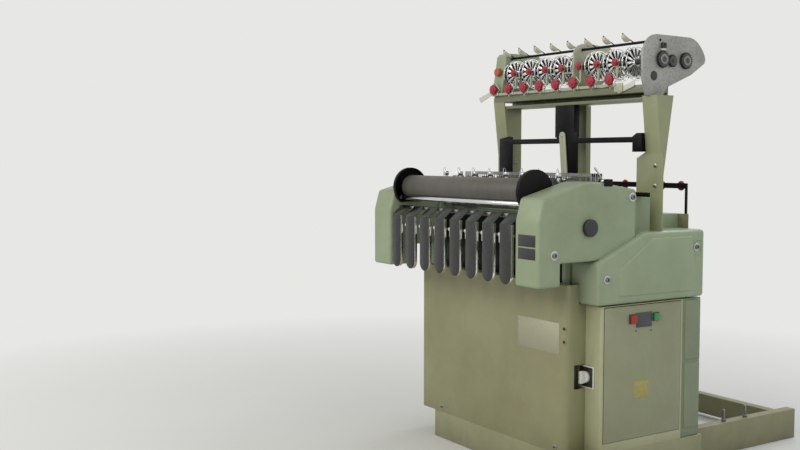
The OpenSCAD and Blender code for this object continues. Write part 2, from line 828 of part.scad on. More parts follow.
module left_post() {
    x = [-work_half - 27, -frame_in + seat_gap, -work_half + 57];
    top = beam_lip_z;
    post_face([[x[1], bed_z], [x[2], bed_z], [x[2], top], [x[0], top], [x[0], guide_top], [x[1], guide_top]], bed_z, top);
    x_plate([x[2] - post_wall, x[2]])
        polygon([[post_y + 1, bed_z], [post_y + 1, post_lean_z], [post_front(beam_z) + 1, beam_z],
                 [post_flange_y, beam_z], [post_flange_y, bed_z]]);
}

module right_post() {
    x = [work_half, work_half + 54, work_half + 81, work_half + 138, work_half + 150];
    foot = side_cover_z[1];
    top = plate_foot_z - seat_gap;
    shelf = post_shelf_z;
    post_face([[x[2], foot], [x[4], foot], [x[4], shelf[1]], [x[3], shelf[1] + 27], [x[3], top], [x[1], top],
               [x[1], shelf[1] + 27], [x[0], shelf[1]], [x[0], shelf[0]], [x[2], shelf[0]]], foot, top);
    x_plate([x[3] - post_wall, x[3]])
        polygon([[post_y + 1, foot], [post_y + 1, post_lean_z], [post_front(top) + 1, top],
                 [post_flange_y - 10, top], [post_y + 14, bed_z + 150], [post_y + 14, foot]]);
    block([frame_in, x[2] + 1], [post_y, post_y + 30], [guide_top, shelf[0] + 1]);
}

module uprights() {
    color(paint) {
        left_post();
        right_post();
        difference() {
            block([-centre_post_half, centre_post_half], centre_post_y, [bed_z, beam_z]);
            block([-centre_post_half + post_wall, centre_post_half - post_wall],
                  centre_post_y + [post_wall, 1], [bed_z + post_wall, beam_z - post_wall]);
        }
    }
}

module top_beam() {
    color(paint) {
        block(beam_x, [beam_y[0] + 9.8, beam_y[1]], [beam_z, beam_z + beam_plate_t]);
        block(beam_x, [beam_y[1] - 8, beam_y[1]], [beam_z + beam_plate_t - 1, beam_lip_z + 1]);
        difference() {
            block(beam_x, beam_y, [beam_lip_z, beam_top]);
            block(beam_x + [beam_wall, -beam_wall], [beam_y[0] + beam_wall, beam_y[1] + 1],
                  [beam_lip_z + beam_wall, beam_top - beam_wall]);
        }
    }
}

module thread_rail() {
    arm_z = [thread_z[1] - 6, thread_z[1] + 4];
    bracket_z = [thread_z[0] - 40, thread_z[1] + 16];
    post_left = work_half + 54;
    color(dark) difference() {
        union() {
            block([thread_left, post_left], thread_y, thread_z);
            y_plate(thread_y) polygon([[thread_left, bed_z + 160], [thread_left + 98, bed_z + 160],
                [thread_left + 98, bracket_z[1] - 4], [thread_left + 75, bracket_z[1]], [thread_left, bracket_z[1] - 12]]);
            x_plate([thread_left, thread_left + 35])
                polygon([[thread_y[1] - 1, arm_z[0]], [post_front(arm_z[0]), arm_z[0]],
                         [post_front(arm_z[1]), arm_z[1]], [thread_y[1] - 1, arm_z[1]]]);
            y_plate([thread_y[0], post_y + 5])
                polygon([[work_half, bracket_z[0]], [post_left, bracket_z[0]], [post_left, bracket_z[1]],
                         [work_half + 24, bracket_z[1]], [work_half, bracket_z[1] - 14]]);
            block([-30, 100], [thread_y[0], post_y + 5], [thread_z[1] + 4, beam_z]);
            block([45, 118], [thread_y[0], thread_y[1] + 4], [bed_z + 160, thread_z[1] + 26]);
            block([-20, 60], thread_y, [thread_z[0], thread_z[1] + 30]);
        }
        y_bar(lever_pin_r + running_gap, lever_pivot[0], [thread_y[0] - 1, post_y], lever_pivot[1]);
    }
}

module stop_lever() {
    y = [thread_y[0] - seat_gap - 6, thread_y[0] - seat_gap];
    color([0.74, 0.76, 0.64]) {
        y_plate(y) hull() {
            translate(lever_pivot) circle(20);
            translate(lever_foot) circle(20);
        }
        y_bar(lever_pin_r, lever_pivot[0], [y[0] - 4, thread_y[1]], lever_pivot[1]);
    }
}

module gear_plate() {
    z = plate_foot_z - 38;
    outline = concat([[392, z + 38], [372, z + 110]],
        curve([366, z + 182], [368, z + 240], [400, z + 292], [450, z + 294], 6),
        [[650, z + 291]],
        curve([650, z + 291], [700, z + 288], [745, z + 230], [748, z + 200], 6),
        [[742, z + 184], [660, z + 132], [515, z + 74], [490, z + 38]]);
    color([0.56, 0.57, 0.57]) difference() {
        x_plate([plate_x, plate_x + plate_t]) polygon(outline);
        for (y = feed_y)
            x_bar(feed_shaft_r + running_gap, [plate_x - 1, plate_x + plate_t + 1], y, feed_z);
        x_bar(idler_pin_r + running_gap, [plate_x - 1, plate_x + plate_t + 1], idler_y, idler_z);
        x_bar(guide_rod_r, [plate_x - 1, plate_x + plate_t + 1], guide_rod_y, guide_rod_z);
        x_bar(20, [plate_x + 6, plate_x + plate_t + 1], 436, feed_z - 70);
    }
}

function housing_front(z) =
    housing_y[0] + (housing_y[1] - housing_y[0]) * (z - beam_top) / (feed_z + 90 - beam_top);

module end_housing() {
    outline = [[housing_y[0], beam_top], [housing_y[1], feed_z + 90], [housing_y[2], feed_z + 105],
               [housing_y[3], feed_z + 105], [housing_y[4], feed_z + 45], [housing_y[4], feed_z - 60],
               [housing_y[5], beam_top]];
    color(paint) difference() {
        x_plate(housing_x) polygon(outline);
        x_plate(housing_x + [cover_t, -cover_t]) offset(delta = -cover_t) polygon(outline);
        block(housing_x + [cover_t, -cover_t], [beam_y[1] + 5, housing_y[5] - 20], [beam_top - 1, beam_top + 20]);
        for (y = feed_y)
            x_bar(feed_shaft_r + running_gap, [housing_x[1] - cover_t - 1, housing_x[1] + 1], y, feed_z);
        x_bar(guide_rod_r, [housing_x[1] - cover_t - 1, housing_x[1] + 1], guide_rod_y, guide_rod_z);
        y_bar(stud_r + running_gap, end_knob_x, [housing_y[0], housing_y[1] + cover_t], end_knob_z);
    }
}

module end_knob() {
    back = housing_front(end_knob_z - end_knob_r) - seat_gap;
    color([0.85, 0.25, 0.12]) {
        y_bar(end_knob_r, end_knob_x, [back - 21.5, back], end_knob_z);
        y_bar(stud_r, end_knob_x, [back - 10, housing_front(end_knob_z) + cover_t + 6], end_knob_z);
    }
}

module centre_plate() {
    z = feed_z - 140;
    color([0.70, 0.73, 0.66]) difference() {
        x_plate([centre_plate_x, centre_plate_x + centre_plate_t])
            polygon(concat([[431, beam_top], [414, z + 70]],
                curve([412, z + 180], [416, z + 225], [440, z + 250], [500, z + 250], 5),
                [[640, z + 240]],
                curve([640, z + 240], [690, z + 230], [690, z + 160], [650, z + 110], 5),
                [[556, beam_top]]));
        for (y = feed_y)
            x_bar(feed_shaft_r + running_gap, [centre_plate_x - 1, centre_plate_x + centre_plate_t + 1], y, feed_z);
        x_bar(guide_rod_r, [centre_plate_x - 1, centre_plate_x + centre_plate_t + 1], guide_rod_y, guide_rod_z);
    }
}

module feed_shaft(y) {
    gear_x = plate_x + plate_t + seat_gap;
    color([0.30, 0.31, 0.32]) {
        x_bar(feed_shaft_r, [housing_x[1] - cover_t, gear_x + gear_w + 3], y, feed_z);
        translate([gear_x, y, feed_z]) rotate([90, 0, 90]) linear_extrude(gear_w)
            polygon(gear_outline(gear_teeth, gear_module, idler_angle));
    }
}

module feed_shaft_front() {
    feed_shaft(feed_y[0]);
}

module feed_shaft_rear() {
    feed_shaft(feed_y[1]);
}

module feed_wheels(y) {
    bore = feed_shaft_r + running_gap;
    w = wheel_half_w;
    color(chrome) for (x = tape_x)
        translate([x, y, feed_z]) rotate([0, 90, 0]) rotate_extrude()
            polygon([[bore, -w], [22, -w], [26, -9], [wheel_r - 1, -w + 1], [wheel_r, -w + 1], [wheel_r, -w + 3],
                     [wheel_r * 0.55, -2], [wheel_r * 0.55, 2], [wheel_r, w - 3], [wheel_r, w - 1],
                     [wheel_r - 1, w - 1], [26, 9], [22, w], [bore, w]]);
}

module feed_wheels_front() {
    feed_wheels(feed_y[0]);
}

module feed_wheels_rear() {
    feed_wheels(feed_y[1]);
}

module idler_gear() {
    gear_x = plate_x + plate_t + seat_gap;
    color([0.30, 0.31, 0.32]) {
        translate([gear_x, idler_y, idler_z]) rotate([90, 0, 90]) linear_extrude(gear_w)
            polygon(gear_outline(idler_teeth, gear_module, idler_angle + 180 + 180 / idler_teeth));
        x_bar(idler_pin_r, [plate_x + 1, gear_x + gear_w + 3], idler_y, idler_z);
    }
}

// A round knob on its stud, with two thin brake discs behind it
module tension_knob(r, x, y, z) {
    y_bar(r, x, [y - knob_depth - 4, y - 4], z);
    y_bar(stud_r, x, [y - 5, y], z);
    y_bar(r * 0.6, x, [y - 2.5, y - 1], z);
}

module tension_knobs() {
    color(red) for (x = between_x) tension_knob(knob_r, x, bar_y, lower_knob_z);
}

module upper_knobs() {
    color(red) for (i = [1 : tape_count - 1]) tension_knob(upper_knob_r, between_x[i], finger_y, upper_knob_z);
}

module knob_bar() {
    left = between_x[0] - 32;
    right = -between_x[0] - 68;
    y = [bar_y, bar_y + bar_t];
    color([0.74, 0.76, 0.64]) {
        block([left, right], y, bar_z);
        block([left - 10, left + 30], y, [bar_z[0], bar_z[0] + 27]);
        block([right - 30, right + 20], y, [bar_z[0] - 25, bar_z[1]]);
        for (x = [-340, -40, 300])
            block([x, x + 30], [bar_y + 1, bar_y + 30], [bar_z[0], bar_z[0] + 4]);
        for (x = between_x)
            block([x - 6, x + 6], y, [bar_z[0], lower_knob_z + 8]);
        for (i = [1 : tape_count - 1]) {
            x = between_x[i];
            block([x - 6, x + 6], [bar_y, finger_y + 6], [lower_knob_z + 4, lower_knob_z + 8]);
            block([x - 6, x + 6], [finger_y, finger_y + 6], [lower_knob_z + 4, upper_knob_z + 10]);
        }
    }
}

module wire_frames() {
    wire = 2.5;
    size = 58;
    color(chrome) for (x = between_x)
        y_plate([bar_y - seat_gap - wire, bar_y - seat_gap]) translate([x, lower_knob_z]) rotate(45) difference() {
            square(size, center = true);
            square(size - 2 * wire, center = true);
        }
}

module guide_rod() {
    rise = guide_rod_z + 40;
    color(dark) {
        x_bar(guide_rod_r, [housing_x[1] - cover_t, plate_x + plate_t], guide_rod_y, guide_rod_z);
        for (x = tape_x) x_plate([x - 2, x + 2])
            polygon([[guide_rod_y - 2, guide_rod_z + 3], [guide_rod_y - 68, rise - 4], [guide_rod_y - 68, rise],
                     [guide_rod_y + 2, guide_rod_z + 4]]);
    }
}

module yarn_guides() {
    color([0.90, 0.86, 0.74]) for (x = tape_x) x_plate([x - 9, x + 9])
        polygon([for (p = [[-66, 35], [-24, 14], [-28, 7], [-40, 3], [-56, 8], [-66, 20]])
                 [guide_rod_y + p[0], guide_rod_z + p[1]]]);
}

module end_arms() {
    y = [bar_y + bar_t, bar_y + bar_t + 2.7];
    right = -between_x[0] - 68;
    left = between_x[0] - 32;
    z = beam_top;
    color([0.80, 0.81, 0.78]) {
        y_plate(y) polygon([[right - 30, z - 16], [right - 9, z - 32], [right + 84, z - 5], [right + 88, z + 22]]);
        y_plate(y) polygon([[left - 112, z - 5], [left - 95, z - 30], [left + 9, z + 9], [left - 8, z + 26]]);
    }
}

module start_lever() {
    color(chrome) {
        x_bar(8, [start_lever_x - 10, start_lever_x + 10], start_lever_y, start_lever_z);
        x_bar(lever_trunnion_r, [start_lever_x - 15, start_lever_x + 15], start_lever_y, start_lever_z);
        translate([start_lever_x, start_lever_y, start_lever_z]) rotate([start_lever_lean, 0, 0]) {
            cylinder(r = 3, h = start_lever_rod + 2);
            translate([0, 0, start_lever_rod]) cylinder(r = 4.5, h = start_lever_grip);
        }
    }
}

module head_knob() {
    color(dark) {
        x_bar(head_knob_shaft_r, [head_out - 14, head_out + seat_gap], head_knob_y, head_knob_z);
        x_bar(head_knob_r, [head_out + seat_gap, head_out + 18], head_knob_y, head_knob_z);
    }
}

module bolt_x(x, y, z, r) {
    x_bar(r, [x, x + 3], y, z);
    x_bar(r * 0.62, [x + 3, x + 9], y, z);
}

module bolt_y(x, y, z, r) {
    y_bar(r, x, [y - 2, y], z);
    y_bar(r * 0.62, x, [y - 7, y - 2], z);
}

module fasteners() {
    color(chrome) {
        for (p = [[-146, 966], [270, 1186]]) {
            bolt_x(head_out, p[0], p[1], 16);
            mirror([1, 0, 0]) bolt_x(head_out, p[0], p[1], 16);
        }
        for (p = [[116, 857], [637, 966]]) bolt_x(side_cover_x, p[0], p[1], 15);
        for (y = [210, 500]) bolt_x(plinth_right, y, plinth_h * 0.55, 13);
        for (x = [-348, 470]) bolt_y(x, pan_y, plinth_h + 14, 10);
        for (z = [bed_z + 128, bed_z + 213]) bolt_y(work_half + 109, post_y, z, 9);
        for (z = [bed_z + 218, bed_z + 236]) bolt_x(-work_half + 57, post_y + 44, z, 5);
        for (y = [960, 1107]) z_bar(6, rail_right - rail_w / 2, y, [rail_h, rail_h + 55]);
        for (y = [960, 1107]) z_bar(11, rail_right - rail_w / 2, y, [rail_h, rail_h + 12]);
    }
}

module rear_rails() {
    back = cabinet_d - 5 + sheet_t;
    half = work_half - 18;
    color(dark) {
        for (z = [spring_bottom_z - 20, spring_top_z])
            block([-half, half], [spring_y - 4, spring_y + 4], [z, z + 20]);
        block([-half, half], [spring_y - 26, spring_y - 20], warp_rail_z);
        block([-half, half], [spring_y - 4, spring_y + 4], disc_rail_z);
        for (x = [-half, half - 10], z = [spring_bottom_z - 20, spring_top_z, warp_rail_z[0]])
            block([x, x + 10], [back, spring_y], [z, z + 20]);
        for (x = [-half, half - 10])
            block([x, x + 10], [spring_y - 4, spring_y + 4], [spring_top_z, disc_rail_z[1]]);
    }
}

module return_springs() {
    color([0.25, 0.25, 0.27]) for (x = tape_x, i = [-1, 1])
        z_bar(spring_r, x + i * 12, spring_y, [spring_bottom_z, spring_top_z]);
}

module tension_discs() {
    color(red) for (x = tape_x) {
        y_bar(disc_r, x, [spring_y + 4, spring_y + 8], disc_z);
        y_bar(disc_hub_r, x, [spring_y + 8, spring_y + 24], disc_z);
    }
}

base_plinth();
rear_base_frame();
front_panel();
rear_panel();
left_side_cover();
machine_frame();
electrical_box();
electrical_door();
button_plate();
stop_button();
start_button();
switch_plate();
switch_knob();
upper_side_cover();
rear_column_cover();
head_left();
head_right();
roller_guards();
roller_sleeve();
roller_shaft();
nip_roller();
tape_chutes();
chute_rail();
tape_clips();
main_shaft();
shaft_pulley();
motor();
motor_pulley();
drive_belt();
sley();
reeds();
weft_needles();
heald_frames_odd();
heald_frames_even();
uprights();
top_beam();
thread_rail();
stop_lever();
gear_plate();
end_housing();
centre_plate();
feed_shaft_front();
feed_wheels_front();
feed_shaft_rear();
feed_wheels_rear();
idler_gear();
end_knob();
tension_knobs();
upper_knobs();
knob_bar();
wire_frames();
guide_rod();
yarn_guides();
end_arms();
start_lever();
head_knob();
fasteners();
rear_rails();
return_springs();
tension_discs();
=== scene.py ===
import math

import bpy
from mathutils import Matrix, Vector


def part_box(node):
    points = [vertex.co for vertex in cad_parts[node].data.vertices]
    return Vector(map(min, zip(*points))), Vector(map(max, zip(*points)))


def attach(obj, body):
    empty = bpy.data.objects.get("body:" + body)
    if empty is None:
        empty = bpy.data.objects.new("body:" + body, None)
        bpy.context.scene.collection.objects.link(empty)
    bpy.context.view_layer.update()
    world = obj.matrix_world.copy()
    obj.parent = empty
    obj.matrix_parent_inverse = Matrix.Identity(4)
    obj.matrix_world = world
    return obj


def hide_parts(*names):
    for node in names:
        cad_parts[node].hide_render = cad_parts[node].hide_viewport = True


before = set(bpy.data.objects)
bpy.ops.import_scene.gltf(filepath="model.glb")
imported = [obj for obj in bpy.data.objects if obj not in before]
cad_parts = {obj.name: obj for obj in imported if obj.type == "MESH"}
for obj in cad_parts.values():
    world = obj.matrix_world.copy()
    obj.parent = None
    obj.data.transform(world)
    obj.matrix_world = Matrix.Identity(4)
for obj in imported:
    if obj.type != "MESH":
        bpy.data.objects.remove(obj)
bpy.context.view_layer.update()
scene = bpy.context.scene
scene.view_settings.view_transform = "Standard"


# The camera stands at eye height, a little more than four metres off the loom's front right corner.
# It looks along the row of chutes and slightly down, through a lens a little longer than normal.
ahead = Vector((-0.8426, 0.5346, -0.0659)).normalized()
across = Vector((0.5358, 0.8444, 0.0)).normalized()
upward = across.cross(ahead)
eye, lens_length, film_width = (3.663, -2.79, 1.35), 46.35, 36
bpy.ops.object.camera_add(location=eye)
camera = bpy.context.object
camera.rotation_euler = Matrix((across, upward, -ahead)).transposed().to_euler()
camera.data.lens = lens_length
camera.data.sensor_width = film_width
scene.camera = camera


# Soft studio light comes from broad lamps high at the left front, the right front, the right and the back.
# The world gives the rest. It looks pale to the camera, and in what polished steel mirrors.
def lamp(place, target, size, power, colour):
    """A rectangular lamp that hangs at a place and faces a target."""
    bpy.ops.object.light_add(type="AREA", location=place)
    light = bpy.context.object
    light.data.shape = "RECTANGLE"
    light.data.size, light.data.size_y = size
    light.data.energy = power
    light.data.color = colour
    light.rotation_euler = (Vector(target) - Vector(place)).to_track_quat("-Z", "Y").to_euler()


lamp((-2.0, -4.6, 3.9), (0, 0, 0.8), (3.5, 3.0), 85, (1.0, 0.97, 0.90))
lamp((1.9, -4.8, 3.3), (0.2, 0, 1.0), (2.5, 2.0), 85, (1.0, 0.98, 0.92))
lamp((4.6, 0.6, 3.4), (0.4, 0.2, 0.9), (3.0, 2.5), 42, (0.93, 0.98, 1.0))
lamp((-0.5, 3.6, 4.4), (0, 0.4, 1.4), (4.0, 2.0), 70, (1.0, 1.0, 1.0))

world = bpy.data.worlds.new("studio")
scene.world = world
world.use_nodes = True
background = world.node_tree.nodes["Background"]
light_path = world.node_tree.nodes.new("ShaderNodeLightPath")
mirrored = world.node_tree.nodes.new("ShaderNodeMath")
seen = world.node_tree.nodes.new("ShaderNodeMath")
mirrored.operation = seen.operation = "ADD"
world.node_tree.links.new(light_path.outputs["Is Glossy Ray"], mirrored.inputs[0])
world.node_tree.links.new(light_path.outputs["Is Transmission Ray"], mirrored.inputs[1])
world.node_tree.links.new(light_path.outputs["Is Camera Ray"], seen.inputs[0])
world.node_tree.links.new(mirrored.outputs[0], seen.inputs[1])
shown = world.node_tree.nodes.new("ShaderNodeMix")
shown.data_type = "RGBA"
room_light, pale_backdrop = (0.36, 0.37, 0.37, 1), (0.80, 0.80, 0.78, 1)
shown.inputs["A"].default_value = room_light
shown.inputs["B"].default_value = pale_backdrop
world.node_tree.links.new(seen.outputs[0], shown.inputs["Factor"])
world.node_tree.links.new(shown.outputs["Result"], background.inputs["Color"])


def brush(material, kind, settings=(), **sockets):
    """Adds one node to a material. A socket takes a number, a colour or another node's output."""
    made = material.node_tree.nodes.new(kind)
    for name, value in dict(settings).items():
        setattr(made, name, value)
    for name, value in sockets.items():
        socket = made.inputs[int(name[1:]) if name[1:].isdigit() else name.replace("_", " ")]
        if isinstance(value, bpy.types.NodeSocket):
            material.node_tree.links.new(value, socket)
        else:
            socket.default_value = value
    return made


def paint(red, green, blue):
    """A colour read off the enamel as 0 to 255 numbers, made linear."""
    return tuple((c / 255) ** 2.2 for c in (red, green, blue)) + (1,)


def new_material(name):
    material = bpy.data.materials.new(name)
    material.use_nodes = True
    return material, material.node_tree.nodes["Principled BSDF"]


def blend_colours(material, factor, first, second):
    """A mix of two colours, each given as a colour or as another node's output."""
    mixed = brush(material, "ShaderNodeMix", {"data_type": "RGBA"}, Factor=factor)
    for socket, value in ((mixed.inputs["A"], first), (mixed.inputs["B"], second)):
        if isinstance(value, bpy.types.NodeSocket):
            material.node_tree.links.new(value, socket)
        else:
            socket.default_value = value
    return mixed.outputs["Result"]


def ramp(material, value, low, high, to_low=0.0, to_high=1.0):
    """Maps a value from the range low to high onto the range to_low to to_high."""
    return brush(material, "ShaderNodeMapRange", i0=value, i1=low, i2=high, i3=to_low, i4=to_high).outputs[0]


# The floor is a plain pale slab that keeps the loom's soft shadow.
# Away from the loom it fades into the pale background.
floor_width, fade_start, fade_end = 60, 1.2, 4.2
bpy.ops.mesh.primitive_plane_add(size=floor_width, location=(0, 0, -0.001))
floor = bpy.context.object
floor.name = "floor"
concrete, shader = new_material("pale_floor")
spot = brush(concrete, "ShaderNodeTexCoord").outputs["Object"]
cloud = brush(concrete, "ShaderNodeTexNoise", Vector=spot, Scale=1.4, Detail=5.0).outputs["Fac"]
tone = blend_colours(concrete, cloud, (0.74, 0.74, 0.72, 1), (0.78, 0.78, 0.76, 1))
concrete.node_tree.links.new(tone, shader.inputs["Base Color"])
shader.inputs["Roughness"].default_value = 0.8
distance = brush(concrete, "ShaderNodeVectorMath", {"operation": "LENGTH"}, i0=spot).outputs["Value"]
rays = brush(concrete, "ShaderNodeLightPath").outputs
mirrored = brush(concrete, "ShaderNodeMath", {"operation": "ADD"}, i0=rays["Is Glossy Ray"],
                 i1=rays["Is Transmission Ray"]).outputs[0]
seen = brush(concrete, "ShaderNodeMath", {"operation": "ADD"},
             i0=rays["Is Camera Ray"], i1=mirrored).outputs[0]
far = brush(concrete, "ShaderNodeMath", {"operation": "MULTIPLY"},
            i0=ramp(concrete, distance, fade_start, fade_end), i1=seen).outputs[0]
pale_end = brush(concrete, "ShaderNodeEmission", Color=pale_backdrop, Strength=1.0).outputs[0]
surface = brush(concrete, "ShaderNodeMixShader", i0=far, i1=shader.outputs[0], i2=pale_end).outputs[0]
concrete.node_tree.links.new(surface, concrete.node_tree.nodes["Material Output"].inputs["Surface"])
floor.data.materials.append(concrete)


# The plinth is a hollow iron casting with a rolled top edge and a cut corner at each front end.
# It is sprayed with satin enamel, scuffed by shoes near the floor, and stands on its rims.
def enamel(name, colour, cast=True, dust=0.5, low_dirt=True):
    """Satin spray enamel: mottled by dust, darker with dirt near the floor, and paler in chips on its edges,
    which is partly wear and partly a painted highlight.
    """
    material, shader = new_material(name)
    links = material.node_tree.links
    spot = brush(material, "ShaderNodeTexCoord").outputs["Object"]
    broad = brush(material, "ShaderNodeTexNoise", Vector=spot, Scale=2.3, Detail=6.0,
                  Roughness=0.65).outputs["Fac"]
    fine = brush(material, "ShaderNodeTexNoise", Vector=spot, Scale=90.0, Detail=4.0,
                 Roughness=0.7).outputs["Fac"]
    dusty = tuple(c * k for c, k in zip(colour[:3], (0.86, 0.83, 0.78))) + (1,)
    fresh = tuple(min(1, c * k) for c, k in zip(colour[:3], (1.07, 1.07, 1.06))) + (1,)
    coat = blend_colours(material, ramp(material, broad, 0.35, 0.68), fresh, dusty)
    speck = ramp(material, fine, 0.36, 0.70, 0.0, 0.35 * dust)
    coat = blend_colours(material, speck, coat, tuple(c * 0.80 for c in colour[:3]) + (1,))
    stretched = brush(material, "ShaderNodeMapping", Vector=spot, Scale=(16.0, 16.0, 0.9)).outputs[0]
    runs = brush(material, "ShaderNodeTexNoise", Vector=stretched, Scale=1.0, Detail=5.0).outputs["Fac"]
    coat = blend_colours(material, ramp(material, runs, 0.58, 0.80, 0.0, 0.20 * dust), coat,
                         (0.14, 0.13, 0.09, 1))
    if low_dirt:
        height = brush(material, "ShaderNodeSeparateXYZ", Vector=spot).outputs["Z"]
        reach = ramp(material, height, 0.0, 0.22, 0.55, 0.0)
        grime = brush(material, "ShaderNodeMath", {"operation": "MULTIPLY"}, i0=reach,
                      i1=ramp(material, broad, 0.25, 0.75, 0.3, 1.0)).outputs[0]
        coat = blend_colours(material, grime, coat, (0.085, 0.078, 0.060, 1))
    # Edges turn paler in noisy chips: partly worn enamel, partly a painted highlight along the edges.
    edge = brush(material, "ShaderNodeBevel", {"samples": 4}, Radius=0.004).outputs["Normal"]
    flat = brush(material, "ShaderNodeNewGeometry").outputs["Normal"]
    along = brush(material, "ShaderNodeVectorMath", {"operation": "DOT_PRODUCT"},
                  i0=edge, i1=flat).outputs["Value"]
    worn = ramp(material, along, 0.985, 0.90)
    chips = brush(material, "ShaderNodeTexNoise", Vector=spot, Scale=38.0, Detail=6.0,
                  Roughness=0.75).outputs["Fac"]
    chipped_edge_and_highlight = brush(material, "ShaderNodeMath", {"operation": "MULTIPLY"}, i0=worn,
                 i1=ramp(material, chips, 0.50, 0.58, 0.0, 0.55)).outputs[0]
    pale = tuple(min(1, c * 1.25 + 0.03) for c in colour[:3]) + (1,)
    coat = blend_colours(material, chipped_edge_and_highlight, coat, pale)
    links.new(coat, shader.inputs["Base Color"])
    links.new(ramp(material, broad, 0.3, 0.7, 0.34, 0.50), shader.inputs["Roughness"])
    shader.inputs["Specular IOR Level"].default_value = 0.45
    lumps = brush(material, "ShaderNodeTexNoise", Vector=spot, Scale=22.0 if cast else 7.0,
                  Detail=3.0).outputs["Fac"]
    peel = brush(material, "ShaderNodeTexNoise", Vector=spot, Scale=420.0, Detail=2.0).outputs["Fac"]
    relief = brush(material, "ShaderNodeMath", {"operation": "MULTIPLY_ADD"},
                   i0=peel, i1=0.12, i2=lumps).outputs[0]
    bump = brush(material, "ShaderNodeBump", Height=relief, Strength=0.35 if cast else 0.18, Distance=0.0016)
    links.new(bump.outputs["Normal"], shader.inputs["Normal"])
    return material


sage = enamel("sage_enamel", paint(148, 161, 133))
post_sage = enamel("post_enamel", paint(145, 149, 116), low_dirt=False)


def clear():
    bpy.ops.object.select_all(action="DESELECT")


def only(piece):
    clear()
    piece.hide_set(False)
    piece.select_set(True)
    bpy.context.view_layer.objects.active = piece


def settle(piece):
    """Puts a piece's place, turn and size into its mesh."""
    only(piece)
    bpy.ops.object.transform_apply(location=True, rotation=True, scale=True)
    return piece


def apply(piece, kind, **settings):
    """Adds a modifier with these settings and applies it."""
    only(piece)
    modifier = piece.modifiers.new(kind.lower(), kind)
    for name, value in settings.items():
        setattr(modifier, name, value)
    bpy.ops.object.modifier_apply(modifier=modifier.name)
    return piece


def round_edges(piece, width, steps=2, angle=30):
    """Bevels the edges of a piece that turn by more than the angle."""
    return apply(piece, "BEVEL", width=width, segments=steps, limit_method="ANGLE",
                 angle_limit=math.radians(angle))


def block(x, y, z, edge=0.0015, steps=2):
    """A cube laid between two corners, with rounded edges."""
    clear()
    middle = [(s[0] + s[1]) / 2 for s in (x, y, z)]
    bpy.ops.mesh.primitive_cube_add(size=1, location=middle)
    piece = bpy.context.object
    piece.scale = [s[1] - s[0] for s in (x, y, z)]
    settle(piece)
    return round_edges(piece, edge, steps) if edge else piece


TURNS = {"X": (0, math.pi / 2, 0), "Y": (-math.pi / 2, 0, 0), "Z": (0, 0, 0)}


def bar(axis, radius, span, middle, edge=0.0008, sides=32, steps=2):
    """A round bar along one axis between two ends. The middle gives its place on the other two axes."""
    clear()
    centre = list(middle)
    centre.insert("XYZ".index(axis), (span[0] + span[1]) / 2)
    bpy.ops.mesh.primitive_cylinder_add(vertices=sides, radius=radius, depth=span[1] - span[0],
                                        location=centre, rotation=TURNS[axis])
    piece = settle(bpy.context.object)
    return round_edges(piece, edge, steps, 40) if edge else piece


def slab(axis, outline, span):
    """A plate cut to an outline: a filled ring of points is laid on it and extruded along one axis."""
    clear()
    bpy.ops.mesh.primitive_circle_add(vertices=len(outline), radius=1, fill_type="NGON")
    piece = bpy.context.object
    for corner, (a, b) in zip(piece.data.vertices, outline):
        place = [a, b]
        place.insert("XYZ".index(axis), span[0])
        corner.co = place
    depth = [0, 0, 0]
    depth["XYZ".index(axis)] = span[1] - span[0]
    bpy.ops.object.mode_set(mode="EDIT")
    bpy.ops.mesh.select_all(action="SELECT")
    bpy.ops.mesh.extrude_region_move(TRANSFORM_OT_translate={"value": depth})
    bpy.ops.mesh.select_all(action="SELECT")
    bpy.ops.mesh.normals_make_consistent(inside=False)
    bpy.ops.object.mode_set(mode="OBJECT")
    return piece


def cut(piece, *cutters):
    """Takes other solids out of a piece."""
    for cutter in cutters:
        apply(piece, "BOOLEAN", operation="DIFFERENCE", object=cutter, solver="EXACT")
        bpy.data.objects.remove(cutter)
    return piece


def join(pieces):
    clear()
    for piece in pieces:
        piece.select_set(True)
    bpy.context.view_layer.objects.active = pieces[0]
    bpy.ops.object.join()
    return bpy.context.object


def fit(piece, name, material, body, slot, *nodes, smooth=35):
    """Gives a piece its name, material and smooth faces, hangs it on its body and hides the nodes that it
    stands for.
    """
    piece.name = name
    piece.data.name = name
    if material:
        piece.data.materials.clear()
        piece.data.materials.append(material)
    only(piece)
    bpy.ops.object.shade_smooth_by_angle(angle=math.radians(smooth))
    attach(piece, body)
    if nodes:
        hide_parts(*nodes)
    return piece


def finish_node(name, material):
    """Gives a CAD node that is already the right shape its real finish."""
    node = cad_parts[name]
    node.data.materials.clear()
    node.data.materials.append(material)


def dress(node, edge, steps=2, angle=30):
    """A copy of a CAD node with its triangles merged and its edges rounded."""
    clear()
    piece = bpy.data.objects.new(node + "_copy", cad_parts[node].data.copy())
    scene.collection.objects.link(piece)
    only(piece)
    bpy.ops.mesh.customdata_custom_splitnormals_clear()
    bpy.ops.object.mode_set(mode="EDIT")
    bpy.ops.mesh.select_all(action="SELECT")
    bpy.ops.mesh.remove_doubles(threshold=0.00002)
    bpy.ops.mesh.dissolve_limited(angle_limit=math.radians(1.0))
    bpy.ops.object.mode_set(mode="OBJECT")
    return round_edges(piece, edge, steps, angle)


def spans(node):
    """A CAD node's box as three spans, to a hundredth of a millimetre."""
    low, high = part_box(node)
    return [(round(a, 5), round(b, 5)) for a, b in zip(low, high)]


